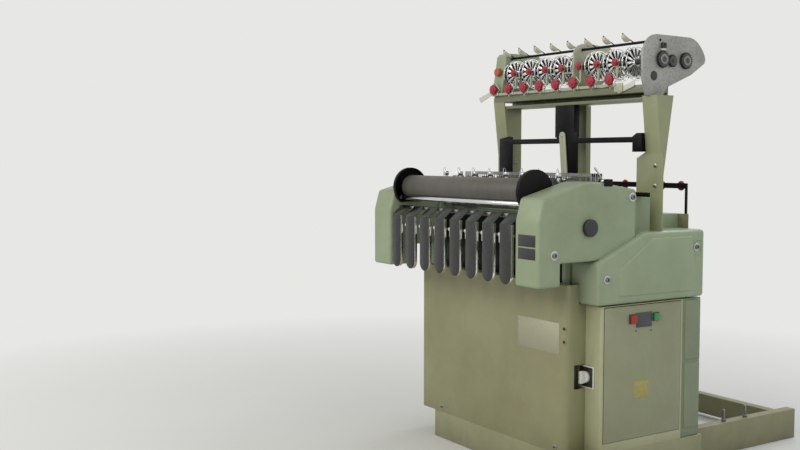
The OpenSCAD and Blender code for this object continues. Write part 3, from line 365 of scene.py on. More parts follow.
(left, right), (front, back), (ground, plinth_top) = spans("base_plinth")
plinth_wall = 0.016
rim_outline = [(-0.410, front), (0.528, front), (0.533, 0.003), (0.536, 0.003), (0.612, 0.052), (0.613, 0.057),
               (right, 0.063), (right, back), (left, back), (left, 0.061), (-0.494, 0.055), (-0.490, 0.055),
               (-0.418, 0.005), (-0.416, 0.001)]
plinth = round_edges(slab("Z", rim_outline, (ground, plinth_top)), 0.006, 3, 60)
for bay in ((-0.480, -0.180), (-0.168, 0.180), (0.192, 0.600)):
    cut(plinth, block(bay, (0.060, back - plinth_wall), (ground - 0.01, plinth_top - plinth_wall), 0))
plinth_paint = enamel("plinth_enamel", paint(152, 152, 118))
fit(plinth, "plinth_casting", plinth_paint, "loom", "green_paint", "base_plinth")


# Two hollow rails run back from the plinth on the floor and carry the loom's rear end.
# They are folded from thick plate, closed at the rear by a cross channel.
def inset(span, depth):
    """A span made shorter by the same depth at both ends."""
    return span[0] + depth, span[1] - depth


base_x, base_y, base_z = spans("rear_base_frame")
rail_width, rail_wall = 0.050, 0.010
base_rails = []
for x, web in ((base_x[0], rail_wall), (base_x[1] - rail_width, -rail_wall)):
    rail = block((x, x + rail_width), base_y, base_z, 0)
    cut(rail, block((x + web, x + web + rail_width), inset(base_y, rail_wall), inset(base_z, rail_wall), 0))
    base_rails.append(round_edges(rail, 0.0025))
channel_x, channel_y, channel_z = inset(base_x, rail_wall), (1.370, 1.420), (0.020, 0.120)
fold = 0.005
cross_channel = block(channel_x, channel_y, channel_z, 0)
cut(cross_channel, block(inset(channel_x, fold), (channel_y[0] + fold, channel_y[1] + rail_wall),
                         inset(channel_z, fold), 0))
base_rails.append(round_edges(cross_channel, 0.0015))
fit(join(base_rails), "rear_rails_on_floor", plinth_paint, "loom", "green_paint", "rear_base_frame")


# The machine frame is two heavy cast side plates joined by the bed, with bored bearings for the shafts.
# Its inner faces guide the heald frames, and its bed and edges are machined, then painted.
fit(dress("machine_frame", 0.0018), "side_frames_and_bed", sage, "loom", "green_paint", "machine_frame")


# The front panel is one pan of folded sheet with round vertical corners, hung on the plinth by two screws.
# Its enamel is yellower than the castings. A plain tag of aluminium is riveted to it.
sheet_paint = enamel("panel_enamel", paint(143, 142, 109), cast=False, dust=0.3)
fit(dress("front_panel", 0.0007), "front_sheet_pan", sheet_paint, "loom", "panel_paint", "front_panel")
fit(dress("rear_panel", 0.0007), "rear_sheet_panel", sheet_paint, "loom", "panel_paint", "rear_panel")


def worn_metal(name, colour, roughness=(0.18, 0.34), grain=None, tint=0.82):
    """Bare metal with faint smudges. Grain stretches the marks along one way, as brushing or turning does."""
    material, shader = new_material(name)
    links = material.node_tree.links
    spot = brush(material, "ShaderNodeTexCoord").outputs["Object"]
    if grain:
        spot = brush(material, "ShaderNodeMapping", Vector=spot, Scale=grain).outputs[0]
    smudge = brush(material, "ShaderNodeTexNoise", Vector=spot, Scale=30.0, Detail=5.0,
                   Roughness=0.6).outputs["Fac"]
    smudged = tuple(c * tint for c in colour[:3]) + (1,)
    tone = blend_colours(material, ramp(material, smudge, 0.35, 0.70), colour, smudged)
    links.new(tone, shader.inputs["Base Color"])
    links.new(ramp(material, smudge, 0.3, 0.7, *roughness), shader.inputs["Roughness"])
    shader.inputs["Metallic"].default_value = 1.0
    bump = brush(material, "ShaderNodeBump", Height=smudge, Strength=0.08, Distance=0.0006)
    links.new(bump.outputs["Normal"], shader.inputs["Normal"])
    return material


panel_face = spans("front_panel")[1][0]
tag_x, tag_z, rivet_inset = (0.222, 0.487), (0.541, 0.671), 0.007
tag_metal = worn_metal("tag_aluminium", (0.46, 0.45, 0.33, 1), (0.48, 0.62), (2.0, 2.0, 60.0))
tag_pieces = [block(tag_x, (panel_face - 0.0007, panel_face + 0.0002), tag_z, 0.0003)]
for x in inset(tag_x, rivet_inset):
    for z in inset(tag_z, rivet_inset):
        tag_pieces.append(bar("Y", 0.0022, (panel_face - 0.0015, panel_face - 0.0005), (x, z), 0.0005, 12))
fit(join(tag_pieces), "blank_panel_tag", tag_metal, "loom", "bright_steel")
dark_metal = worn_metal("oiled_steel", (0.055, 0.055, 0.057, 1), (0.30, 0.48))
side_screw_x, side_screw_z = 0.5165, (0.598, 0.652)
pins = [bar("Y", 0.006, (panel_face - 0.0029, panel_face + 0.0002), (side_screw_x, z), 0.0012, 16)
        for z in side_screw_z]
fit(join(pins), "panel_side_screws", dark_metal, "loom", "dark_steel")


# The electrical box is folded from the same sheet, with a round front corner and a strip for the switch.
# Its door hangs on two pins at the front edge and opens to the side. It carries a plain yellow tag.
# The box enamel is a lighter copy of the door enamel: painted light that brightens the box's shaded front
# strip.
lit_box_paint = enamel("box_enamel_painted_light", paint(170, 172, 139), cast=False)
door_paint = enamel("door_enamel", paint(145, 147, 119), cast=False)
fit(dress("electrical_box", 0.0010), "switchgear_box", lit_box_paint, "loom", "panel_paint", "electrical_box")
fit(dress("electrical_door", 0.0010), "switchgear_door", door_paint, "door", "panel_paint", "electrical_door")
door_tag_paint, shader = new_material("door_tag_enamel")
yellow, rubbed_yellow = (0.42, 0.36, 0.10, 1), (0.34, 0.30, 0.11, 1)
spot = brush(door_tag_paint, "ShaderNodeTexCoord").outputs["Object"]
scuff = brush(door_tag_paint, "ShaderNodeTexNoise", Vector=spot, Scale=55.0, Detail=5.0).outputs["Fac"]
tone = blend_colours(door_tag_paint, ramp(door_tag_paint, scuff, 0.35, 0.7), yellow, rubbed_yellow)
door_tag_paint.node_tree.links.new(tone, shader.inputs["Base Color"])
shader.inputs["Roughness"].default_value = 0.42
door_face = spans("electrical_door")[0][1]
door_tag = block((door_face + 0.0001, door_face + 0.0010), (0.290, 0.374), (0.350, 0.420), 0.0003)
fit(door_tag, "blank_door_tag", door_tag_paint, "door", "panel_paint")
door_screws = [bar("X", 0.0032, (door_face - 0.0002, door_face + 0.0016), place, 0.0006, 12)
               for place in ((0.297, 0.632), (0.384, 0.628))]
fit(join(door_screws), "door_screws", dark_metal, "door", "dark_steel")


# A red stop button, a grey plate and a green start button stand in a row on the door, each in its own bezel.
# The caps are moulded plastic and spring back when they are let go.
def plastic(name, colour, roughness=0.35, speckle=160.0):
    """Moulded plastic with a faint grain and a little dust."""
    material, shader = new_material(name)
    links = material.node_tree.links
    spot = brush(material, "ShaderNodeTexCoord").outputs["Object"]
    grain = brush(material, "ShaderNodeTexNoise", Vector=spot, Scale=speckle, Detail=3.0).outputs["Fac"]
    dull = tuple(c * 0.8 + 0.012 for c in colour[:3]) + (1,)
    links.new(blend_colours(material, ramp(material, grain, 0.35, 0.7), colour, dull),
              shader.inputs["Base Color"])
    links.new(ramp(material, grain, 0.3, 0.7, roughness, roughness + 0.14), shader.inputs["Roughness"])
    bump = brush(material, "ShaderNodeBump", Height=grain, Strength=0.10, Distance=0.0004)
    links.new(bump.outputs["Normal"], shader.inputs["Normal"])
    return material


grey_plastic = plastic("grey_bezel_plastic", (0.055, 0.060, 0.068, 1))
fit(dress("button_plate", 0.0007), "button_row_bezels", grey_plastic, "door", "grey_plastic", "button_plate")
for node, colour, slot in (("stop_button", (0.40, 0.015, 0.015, 1), "red_plastic"),
                           ("start_button", (0.03, 0.30, 0.10, 1), "green_plastic")):
    fit(dress(node, 0.0016, 3), node + "_cap", plastic(node + "_plastic", colour, 0.25), node, slot, node)


# The main switch is a white knob with a grip bar on a black square plate with a white rim.
# It sits on the narrow strip beside the door, and its spindle runs in a bore in the plate.
def mid(span):
    return round((span[0] + span[1]) / 2, 5)


white_plastic = plastic("white_switch_plastic", (0.70, 0.70, 0.64, 1), 0.28)
black_plastic = plastic("black_moulding", (0.018, 0.018, 0.019, 1), 0.32)
switch_x, switch_y, switch_z = spans("switch_plate")
knob_y, knob_z = spans("switch_knob")[1:]
switch_axis = mid(switch_x), mid(switch_z)
rim_width, rim_height, through_plate = 0.005, 0.0015, (0.09, 0.11)
rim = block(switch_x, (switch_y[0] - rim_height, switch_y[1]), switch_z, 0.0012)
cut(rim, block(inset(switch_x, rim_width), through_plate, inset(switch_z, rim_width), 0))
fit(rim, "switch_rim", white_plastic, "loom", "white_plastic")
face_inset = rim_width + 0.0002
face = block(inset(switch_x, face_inset), switch_y, inset(switch_z, face_inset), 0.0008)
cut(face, bar("Y", 0.0062, through_plate, switch_axis, 0))
fit(face, "switch_face", black_plastic, "loom", "black_plastic", "switch_plate")
dial = bar("Y", 0.024, (0.0857, 0.0997), switch_axis, 0.0025, 40, 3)
grip = block((switch_axis[0] - 0.007, switch_axis[0] + 0.007), (knob_y[0], 0.0870), knob_z, 0.0035, 3)
spindle = bar("Y", 0.006, (0.090, knob_y[1]), switch_axis, 0.0004, 24)
fit(join([dial, grip, spindle]), "switch_grip", white_plastic, "switch_knob", "white_plastic", "switch_knob")


# The left cover is a tall casting over the belt, with an S-shaped rear edge.
# It is open towards the loom and bolted to the side frame.
fit(dress("left_side_cover", 0.0035, 3), "belt_cover_casting", sage, "loom", "green_paint", "left_side_cover")


# The upper side cover is a deep casting with soft edges and a raised field in its side.
# It laps over the electrical box, and the head passes through a notch in its top.
(cover_left, field_face), (front, back), (bottom, top) = spans("upper_side_cover")
field_height, cover_wall, head_gap = 0.005, 0.008, 0.0003
cover_face = field_face - field_height
recess_floor = cover_face - 0.0035
nose_top, knee_y = 0.928, 0.331
profile = [(front, bottom), (front, nose_top), (knee_y, top), (back, top), (back, bottom)]
side_cover = round_edges(slab("X", profile, (cover_left, cover_face)), 0.016, 4, 25)
hollow_y, hollow_z = inset((front, back), cover_wall), inset((bottom, top), cover_wall)
hollow = [(hollow_y[0], hollow_z[0]), (hollow_y[0], nose_top - 0.005), (knee_y + 0.002, hollow_z[1]),
          (hollow_y[1], hollow_z[1]), (hollow_y[1], hollow_z[0])]
head_x, head_y = spans("head_right")[:2]
notch = block((0.45, head_x[1] + head_gap), (-0.2, head_y[1] + head_gap), (0.931, 1.2), 0)
cut(side_cover, slab("X", hollow, (0.45, cover_face - cover_wall)), notch)
field_outline = [(0.184, 0.783), (0.181, 0.894), (0.372, 1.015), (0.605, 1.014), (0.642, 0.780)]
field = round_edges(slab("X", field_outline, (cover_face - 0.0075, field_face)), 0.009, 4, 25)
recess = round_edges(block((recess_floor, field_face), (0.612, 0.664), (0.926, 0.994), 0), 0.003, 2)
cut(side_cover, recess)
fit(join([side_cover, field]), "upper_side_casting", sage, "loom", "green_paint", "upper_side_cover")
column_paint = enamel("column_enamel", paint(128, 138, 114))
fit(dress("rear_column_cover", 0.004, 3), "column_casting", column_paint, "loom", "green_paint",
    "rear_column_cover")


# Each head is a thick casting that carries the take-up roller and its drive.
# It has generous round edges, a sloping top and a chin in front, and is open below behind the chin.
(head_inner, head_outer), (front, back), (chin, cheek_top) = spans("head_right")
top = spans("head_left")[2][1]
chin_back, head_floor, head_wall = -0.109, 0.932, 0.012
nip_axis, weft_axis, head_knob_axis = (-0.15962, 1.15921), (0.080, 1.135), (0.034, 1.068)
head_screws = ((-0.146, 0.966), (0.270, 1.186))
head_profile = [(front, chin), (chin_back, chin), (chin_back, head_floor), (back, head_floor), (back, 1.217),
                (0.095, top), (0.020, top), (-0.201, 1.189), (front, 1.100)]
inner_y, inner_top = inset((front, back), head_wall), top - head_wall
inner_profile = [(inner_y[0], chin + head_wall), (chin_back - head_wall, chin + head_wall),
                 (chin_back - head_wall, 0.900), (inner_y[1], 0.900), (inner_y[1], 1.200),
                 (0.092, inner_top), (0.022, inner_top), (-0.190, 1.179), (inner_y[0], 1.093)]
bearing_x = (head_inner - 0.008, head_inner + 0.017)


def mirror_across(piece):
    """Mirrors a piece across the loom's middle plane and turns its faces outwards again."""
    only(piece)
    bpy.ops.transform.mirror(constraint_axis=(True, False, False))
    settle(piece)
    bpy.ops.object.mode_set(mode="EDIT")
    bpy.ops.mesh.select_all(action="SELECT")
    bpy.ops.mesh.normals_make_consistent(inside=False)
    bpy.ops.object.mode_set(mode="OBJECT")
    return piece


def head_casting():
    head = round_edges(slab("X", head_profile, (head_inner, head_outer)), 0.013, 4, 15)
    return cut(head, slab("X", inner_profile, (head_inner + head_wall, head_outer - 0.010)),
               bar("X", 0.00605, bearing_x, nip_axis, 0), bar("X", 0.010, bearing_x, weft_axis, 0))


fit(mirror_across(head_casting()), "left_head_casting", sage, "loom", "green_paint", "head_left")
lever_x, lever_y, cheek_gap, cheek = mid(spans("start_lever")[0]), 0.136, 0.0103, 0.006
seat = [block((x, x + cheek), (lever_y - 0.010, lever_y + 0.010), (cheek_top - 0.035, cheek_top), 0.002)
        for x in (lever_x - cheek_gap - cheek, lever_x + cheek_gap)]
right_head = head_casting()
cut(right_head, bar("X", 0.00805, (head_outer - 0.015, head_outer + 0.005), head_knob_axis, 0))
fit(right_head, "right_head_casting", sage, "loom", "green_paint", "head_right")
seat.append(block((head_outer - 0.0015, head_outer + 0.0035), (lever_y - 0.024, lever_y + 0.022),
                  (cheek_top - 0.029, cheek_top), 0.003, 3))
black_paint = worn_metal("black_fittings", (0.016, 0.016, 0.017, 1), (0.38, 0.55))
fit(join(seat), "start_lever_seat", black_paint, "loom", "black_paint")
for number, place in enumerate(head_screws):
    spot_face = bar("X", 0.0220, (head_outer - 0.0004, head_outer + 0.0008), place, 0.0005, 40)
    cut(spot_face, bar("X", 0.0165, (head_outer - 0.015, head_outer + 0.015), place, 0, 40))
    fit(spot_face, f"screw_spot_face_{number + 1}", sage, "loom", "green_paint")
plates = [block((0.492, 0.596), (front - 0.0016, front + 0.0002), z, 0.0004)
          for z in ((1.000, 1.046), (0.950, 0.994))]
fit(join(plates), "blank_head_plates", black_plastic, "loom", "black_plastic")


# The take-up roller is a steel core with a sanded rubber-cork covering that gives it grip.
# Its journals run in the end guards, and a thin chrome nip roller is pressed against it from below.
covering, shader = new_material("roller_covering")
spot = brush(covering, "ShaderNodeTexCoord").outputs["Object"]
streaks = brush(covering, "ShaderNodeMapping", Vector=spot, Scale=(26.0, 3.0, 3.0)).outputs[0]
bands = brush(covering, "ShaderNodeTexNoise", Vector=streaks, Scale=1.0, Detail=6.0,
              Roughness=0.6).outputs["Fac"]
grit = brush(covering, "ShaderNodeTexNoise", Vector=spot, Scale=700.0, Detail=2.0).outputs["Fac"]
cork, worn_cork, pale_grit = (0.097, 0.089, 0.075, 1), (0.075, 0.069, 0.058, 1), (0.15, 0.14, 0.122, 1)
tone = blend_colours(covering, ramp(covering, bands, 0.33, 0.68), cork, worn_cork)
tone = blend_colours(covering, ramp(covering, grit, 0.55, 0.75, 0.0, 0.25), tone, pale_grit)
covering.node_tree.links.new(tone, shader.inputs["Base Color"])
shader.inputs["Roughness"].default_value = 0.50
bump = brush(covering, "ShaderNodeBump", Height=grit, Strength=0.35, Distance=0.0005)
covering.node_tree.links.new(bump.outputs["Normal"], shader.inputs["Normal"])
roller_axis = [mid(span) for span in spans("roller_shaft")[1:]]
sleeve_x, sleeve_radius, core_radius = spans("roller_sleeve")[0], 0.054, 0.050
sleeve = bar("X", sleeve_radius, sleeve_x, roller_axis, 0.0015, 96)
cut(sleeve, bar("X", core_radius, inset(sleeve_x, -0.012), roller_axis, 0, 96))
fit(sleeve, "roller_cover_sleeve", covering, "take_up_roller", "roller_cover", "roller_sleeve")
steel = worn_metal("machined_steel", (0.42, 0.42, 0.41, 1), (0.25, 0.40))
finish_node("roller_shaft", steel)
chrome = worn_metal("polished_chrome", (0.66, 0.67, 0.68, 1), (0.08, 0.20), None, 0.9)
fit(dress("nip_roller", 0.001), "nip_roller_bar", chrome, "nip_roller", "chrome_plate", "nip_roller")


# A black round guard is bolted to each head, open towards the roller and cut off below.
# It is a shallow pressed cup, and the roller's journal turns in the boss in its middle.
fit(dress("roller_guards", 0.0012), "roller_end_guards", black_paint, "loom", "black_paint", "roller_guards")


# Eight steel chutes hang side by side below the roller. Each is a pressed channel with a round foot.
# The faces are painted dark steel, a painted dark reflection, and the edge-on lips are painted bright steel, a
# painted highlight.
def stands_for(node, number):
    """The node that a row of pieces replaces. Only the first piece of the row names it."""
    return [node] if number == 0 else []


chute_dark_reflection = worn_metal("chute_painted_reflection_steel", (0.075, 0.075, 0.072, 1), (0.20, 0.34), (6.0, 6.0, 1.0), 0.7)
chute_highlight = worn_metal("chute_painted_highlight_steel", (0.92, 0.92, 0.90, 1), (0.16, 0.30), None, 0.94)
tape_count, tape_pitch = 8, 0.117
tape_x = [(i - (tape_count - 1) / 2) * tape_pitch for i in range(tape_count)]
chute_front, chute_back = spans("tape_chutes")[1]
half, sheet, foot_z, bend_z, chute_top = 0.0375, 0.0025, 0.8755, 1.0802, 1.1227
inner_half = half - sheet
bend_profile = [(chute_front, bend_z), (chute_front + sheet, bend_z - 0.001), (-0.175, chute_top - sheet),
                (chute_back, chute_top - sheet), (chute_back, chute_top), (-0.176, chute_top)]


def foot_arc(middle, radius):
    """The round foot of a chute, from its left side below to its right side."""
    turns = [math.radians(degrees) for degrees in range(-90, 91, 15)]
    return [(middle + radius * math.sin(turn), foot_z - radius * math.cos(turn)) for turn in turns]


for number, middle in enumerate(tape_x):
    outside = foot_arc(middle, half) + [(middle + half, bend_z), (middle - half, bend_z)]
    inside = foot_arc(middle, inner_half) + [(middle + inner_half, 1.12), (middle - inner_half, 1.12)]
    channel = slab("Y", outside, (chute_front, chute_front + 0.014))
    cut(channel, slab("Y", inside, (chute_front + sheet, chute_front + 0.025)))
    bend = slab("X", bend_profile, (middle - half, middle + half))
    chute = round_edges(join([channel, bend]), 0.0006, 2, 40)
    chute.data.materials.append(chute_dark_reflection)
    chute.data.materials.append(chute_highlight)
    # Edge-on faces get the bright steel as a painted highlight, and the rest get the dark steel as a painted
    # dark reflection.
    for face in chute.data.polygons:
        edge_on = abs(face.normal.y) < 0.75 and face.center.z < bend_z - 0.0012
        face.material_index = 1 if edge_on else 0
    fit(chute, f"tape_chute_{number + 1}", None, "loom", "bright_steel", *stands_for("tape_chutes", number))
finish_node("chute_rail", steel)
# A black sheet behind the chutes is painted shade: it darkens the space behind them.
shade_sheet = block((-0.4465, 0.4465), (0.0425, 0.0437), (0.832, 1.083), 0.0003)
fit(shade_sheet, "painted_shade_sheet_behind_chutes", black_paint, "loom", "black_paint")


# White moulded clips hang on a thin rod, one in each gap between the chutes.
# Each is a strip with a curled top around the rod.
clip_rod, clip_half = (-0.2015, 1.0352), 0.011
for number in range(tape_count - 1):
    middle = (number - 3) * tape_pitch
    curl = bar("X", 0.009, (middle - clip_half, middle + clip_half), clip_rod, 0.002, 24, 3)
    cut(curl, bar("X", 0.00405, (middle - 0.02, middle + 0.02), clip_rod, 0))
    tail = block((middle - clip_half, middle + clip_half), (-0.2045, -0.2022), (1.0012, 1.030), 0.0009)
    fit(join([curl, tail]), f"tape_clip_{number + 1}", white_plastic, "loom", "white_plastic",
        *stands_for("tape_clips", number))


# Under the covers the motor turns the main shaft by a flat belt and two flanged pulleys.
# Eccentric discs on the shaft drive the heald frames and the sley.
motor_paint = enamel("motor_enamel", paint(120, 132, 116), low_dirt=False)
cast_dark = worn_metal("cast_pulley_iron", (0.12, 0.12, 0.12, 1), (0.40, 0.55))
fit(dress("motor", 0.004, 3), "motor_body", motor_paint, "loom", "motor_paint", "motor")
finish_node("main_shaft", steel)
finish_node("shaft_pulley", cast_dark)
finish_node("motor_pulley", cast_dark)
belt_rubber, shader = new_material("belt_rubber")
spot = brush(belt_rubber, "ShaderNodeTexCoord").outputs["Object"]
weave = brush(belt_rubber, "ShaderNodeTexNoise", Vector=spot, Scale=240.0, Detail=3.0).outputs["Fac"]
tone = blend_colours(belt_rubber, weave, (0.02, 0.02, 0.02, 1), (0.05, 0.047, 0.043, 1))
belt_rubber.node_tree.links.new(tone, shader.inputs["Base Color"])
shader.inputs["Roughness"].default_value = 0.75
finish_node("drive_belt", belt_rubber)


# The sley swings about a low shaft and carries a row of eight steel reeds on its bar.
# Sickle needles stand on a sliding bar behind it. A bent wire feeler stands beside each needle.
def drawn_wire(path, radius):
    """Gives a curve the thickness of a wire and makes it a mesh."""
    path.data.bevel_depth = radius
    path.data.bevel_resolution = 2
    only(path)
    bpy.ops.object.convert(target="MESH")
    return settle(bpy.context.object)


reed_steel = worn_metal("reed_steel", (0.20, 0.20, 0.20, 1), (0.22, 0.36))
finish_node("sley", steel)
finish_node("reeds", reed_steel)
finish_node("weft_needles", reed_steel)
for number, middle in enumerate(tape_x):
    arm = block((middle - 0.036, middle - 0.029), (0.074, 0.088), (1.217, 1.272), 0.0015)
    clamp = block((middle - 0.040, middle - 0.025), (0.070, 0.092), (1.262, 1.282), 0.002)
    bpy.ops.curve.primitive_bezier_curve_add(location=(0, 0, 0))
    path = bpy.context.object
    path.data.resolution_u = 6
    path.data.splines[0].bezier_points.add(1)
    bends = [(middle - 0.032, 0.081, 1.278),
             (middle - 0.026 + 0.004 * math.sin(3 * number), 0.066, 1.300),
             (middle - 0.004 + 0.006 * math.cos(2 * number), 0.040, 1.262 + 0.006 * math.sin(5 * number))]
    for point, place in zip(path.data.splines[0].bezier_points, bends):
        point.co = place
        point.handle_left_type = point.handle_right_type = "AUTO"
    feeler = join([drawn_wire(path, 0.0012), arm, clamp])
    fit(feeler, f"weft_feeler_{number + 1}", chrome, "weft_bar", "chrome_plate")


# Six heald frames slide up and down between the guide ribs. Each has its healds in eight groups.
# The odd frames rise as the even ones fall.
heald_bright = worn_metal("heald_steel", (0.40, 0.40, 0.39, 1), (0.22, 0.36))
heald_dark = worn_metal("heald_dark_steel", (0.20, 0.20, 0.21, 1), (0.28, 0.42))
finish_node("heald_frames_odd", heald_bright)
finish_node("heald_frames_even", heald_dark)


# Two angle posts and a centre post stand on the frame and carry the feed unit on a top beam.
# Each angle post is welded from plate. Its face leans forward above, and the right one widens to a shoulder.
fit(dress("uprights", 0.0018), "side_and_centre_posts", post_sage, "loom", "green_paint", "uprights")
foot_block = block((0.4475, 0.5490), (0.4394, 0.4702), (1.1802, 1.1998), 0.002)
fit(foot_block, "post_foot_block", black_paint, "loom", "black_paint")
# The top beam's enamel is a darker copy of the posts' green: painted shade.
shaded_beam_sage = enamel("beam_enamel_painted_shade", paint(121, 126, 100), low_dirt=False)
fit(dress("top_beam", 0.0016), "top_beam_bars", shaded_beam_sage, "loom", "green_paint", "top_beam")


# A black rail crosses the loom under the beam on three brackets and holds the stop.
# A pale lever with a round top hangs in front of its middle bracket.
fit(dress("thread_rail", 0.0025), "thread_rail_and_brackets", black_paint, "loom", "black_paint",
    "thread_rail")
pale = enamel("pale_enamel", paint(184, 186, 164), cast=False, low_dirt=False)
fit(dress("stop_lever", 0.0012), "thread_stop_lever", pale, "stop_lever", "pale_paint", "stop_lever")


# The gear plate is a grey casting at the right end of the beam, with bearings for the feed shafts.
# Its machined face is bare, and the edge is cast and round. A black plug closes a recess below the gears.
casting, shader = new_material("bare_casting")
spot = brush(casting, "ShaderNodeTexCoord").outputs["Object"]
grain = brush(casting, "ShaderNodeTexNoise", Vector=spot, Scale=120.0, Detail=6.0,
              Roughness=0.7).outputs["Fac"]
patch = brush(casting, "ShaderNodeTexNoise", Vector=spot, Scale=9.0, Detail=5.0).outputs["Fac"]
pale_iron, dull_iron, oily_pores = (0.41, 0.41, 0.38, 1), (0.30, 0.30, 0.28, 1), (0.085, 0.085, 0.078, 1)
tone = blend_colours(casting, ramp(casting, patch, 0.3, 0.7), pale_iron, dull_iron)
tone = blend_colours(casting, ramp(casting, grain, 0.48, 0.72, 0.0, 0.6), tone, oily_pores)
casting.node_tree.links.new(tone, shader.inputs["Base Color"])
shader.inputs["Metallic"].default_value = 0.45
shader.inputs["Roughness"].default_value = 0.52
bump = brush(casting, "ShaderNodeBump", Height=grain, Strength=0.45, Distance=0.0010)
casting.node_tree.links.new(bump.outputs["Normal"], shader.inputs["Normal"])
fit(dress("gear_plate", 0.0025, 3), "gear_side_casting", casting, "loom", "cast_grey", "gear_plate")
fit(dress("end_housing", 0.005, 3), "left_end_casting", sage, "loom", "green_paint", "end_housing")
fit(dress("centre_plate", 0.002), "centre_bearing_plate", pale, "loom", "pale_paint", "centre_plate")
orange = plastic("orange_plastic", (0.52, 0.10, 0.035, 1), 0.3)
fit(dress("end_knob", 0.003, 3), "end_lock_knob", orange, "end_knob", "orange_plastic", "end_knob")
gear_steel = worn_metal("gear_steel", (0.10, 0.10, 0.10, 1), (0.34, 0.50))
for node in ("feed_shaft_front", "feed_shaft_rear", "idler_gear"):
    finish_node(node, gear_steel)
hub_steel = worn_metal("gear_hub_steel", (0.26, 0.26, 0.25, 1), (0.30, 0.44))
feed_axis = {row: [mid(span) for span in spans("feed_shaft_" + row)[1:]] for row in ("front", "rear")}
for row, axis in feed_axis.items():
    ring = bar("X", 0.021, (0.5762, 0.5790), axis, 0.0006, 40)
    cut(ring, bar("X", 0.0125, (0.57, 0.59), axis, 0, 40))
    fit(ring, f"feed_{row}_gear_hub", hub_steel, "feed_" + row, "dark_steel")
plate_face = spans("gear_plate")[0][1]
plug = bar("X", 0.0195, (plate_face - 0.0059, plate_face + 0.0008), (0.436, 1.690), 0.0010, 40)
fit(plug, "gear_plate_plug", black_plastic, "loom", "black_plastic")
catch = [block((plate_face + 0.0001, plate_face + 0.0120), (0.474, 0.498), (1.806, 1.830), 0.002),
         bar("X", 0.004, (plate_face + 0.0110, plate_face + 0.0180), (0.486, 1.822), 0.001, 16)]
fit(join(catch), "gear_plate_catch", black_plastic, "loom", "black_plastic")
catch_pad = block((plate_face + 0.0001, plate_face + 0.0135), (0.472, 0.492), (1.797, 1.805), 0.0015)
fit(catch_pad, "gear_plate_catch_pad", white_plastic, "loom", "white_plastic")


# Each feed wheel is a pair of stars of fourteen chromed petals, one star on each side.
# The petals lean outwards to a round rim, and a dark disc and a bright hub hold the pair on the shaft.
def turned_copies(piece, count):
    """Copies of a piece at even angles about the X axis, joined into one."""
    ring = [piece]
    for step in range(1, count):
        only(piece)
        bpy.ops.object.duplicate()
        copy = bpy.context.object
        copy.rotation_euler = (2 * math.pi * step / count, 0, 0)
        ring.append(settle(copy))
    return join(ring)


wheel_chrome = worn_metal("wheel_chrome", (0.90, 0.90, 0.89, 1), (0.12, 0.24), None, 0.92)
petal_count, petal_lean, petal_twist = 14, math.radians(16), math.radians(4)
petal_outline = [(-0.0026, 0.017), (0.0026, 0.017), (0.0080, 0.055), (0.0052, 0.0650), (-0.0052, 0.0650),
                 (-0.0080, 0.055)]
wheel_rim_radius, wheel_rim_bore, wheel_rim_x = 0.0676, 0.0634, (0.0104, 0.0138)
hub_radius, hub_bore, disc_radius, disc_bore = 0.0185, 0.01205, 0.0590, 0.0180


def feed_wheel(place):
    petal = round_edges(slab("X", petal_outline, (0.0066, 0.0078)), 0.0004, 2)
    petal.rotation_euler = (0, petal_twist, petal_lean)
    star = turned_copies(settle(petal), petal_count)
    rim = bar("X", wheel_rim_radius, wheel_rim_x, (0, 0), 0.0008, 72)
    cut(rim, bar("X", wheel_rim_bore, (0, 0.02), (0, 0), 0, 72))
    side = join([star, rim])
    side.data.materials.clear()
    side.data.materials.append(wheel_chrome)
    only(side)
    bpy.ops.object.duplicate()
    other = mirror_across(bpy.context.object)
    hub = bar("X", hub_radius, (-wheel_rim_x[1], wheel_rim_x[1]), (0, 0), 0.0015, 32)
    disc = bar("X", disc_radius, (-0.0012, 0.0012), (0, 0), 0.0004, 64)
    for core, bore, metal in ((hub, hub_bore, wheel_chrome), (disc, disc_bore, dark_metal)):
        cut(core, bar("X", bore, (-0.02, 0.02), (0, 0), 0))
        core.data.materials.append(metal)
    wheel = join([side, other, hub, disc])
    wheel.location = place
    return settle(wheel)


for row, axis in feed_axis.items():
    first = feed_wheel((tape_x[0], *axis))
    wheels = [first]
    for middle in tape_x[1:]:
        only(first)
        bpy.ops.object.duplicate()
        copy = bpy.context.object
        copy.location = (middle - tape_x[0], 0, 0)
        wheels.append(settle(copy))
    for number, wheel in enumerate(wheels):
        fit(wheel, f"feed_wheel_{row}_{number + 1}", None, "feed_" + row, "chrome_plate",
            *stands_for("feed_wheels_" + row, number))


# Red knobs set the small brakes of the feed. The lower row stands on a pale bar, the upper row on bent fingers.
# They are moulded with eight lobes around a domed cap, each on a thin steel stud.
red_plastic = plastic("red_knob_plastic", (0.40, 0.012, 0.035, 1), 0.22)
knob_x = [(number - 4) * tape_pitch for number in range(tape_count)]
lower_knob_z, upper_knob_z = 1.685, 1.762


def lobed_knob(middle, front, back, z, radius):
    points = []
    for step in range(48):
        turn = math.radians(step * 7.5)
        reach = radius * (0.94 + 0.06 * math.cos(8 * turn))
        points.append((middle + reach * math.cos(turn), z + reach * math.sin(turn)))
    knob = round_edges(slab("Y", points, (front + 0.003, back)), 0.0022, 3, 50)
    cap = bar("Y", radius * 0.55, (front, front + 0.006), (middle, z), 0.0022, 24, 3)
    stud = bar("Y", 0.003, (back - 0.001, back + 0.004), (middle, z), 0.0003, 12)
    disc = bar("Y", radius * 0.6, (back + 0.0015, back + 0.003), (middle, z), 0.0005, 24)
    return join([knob, cap, stud, disc])


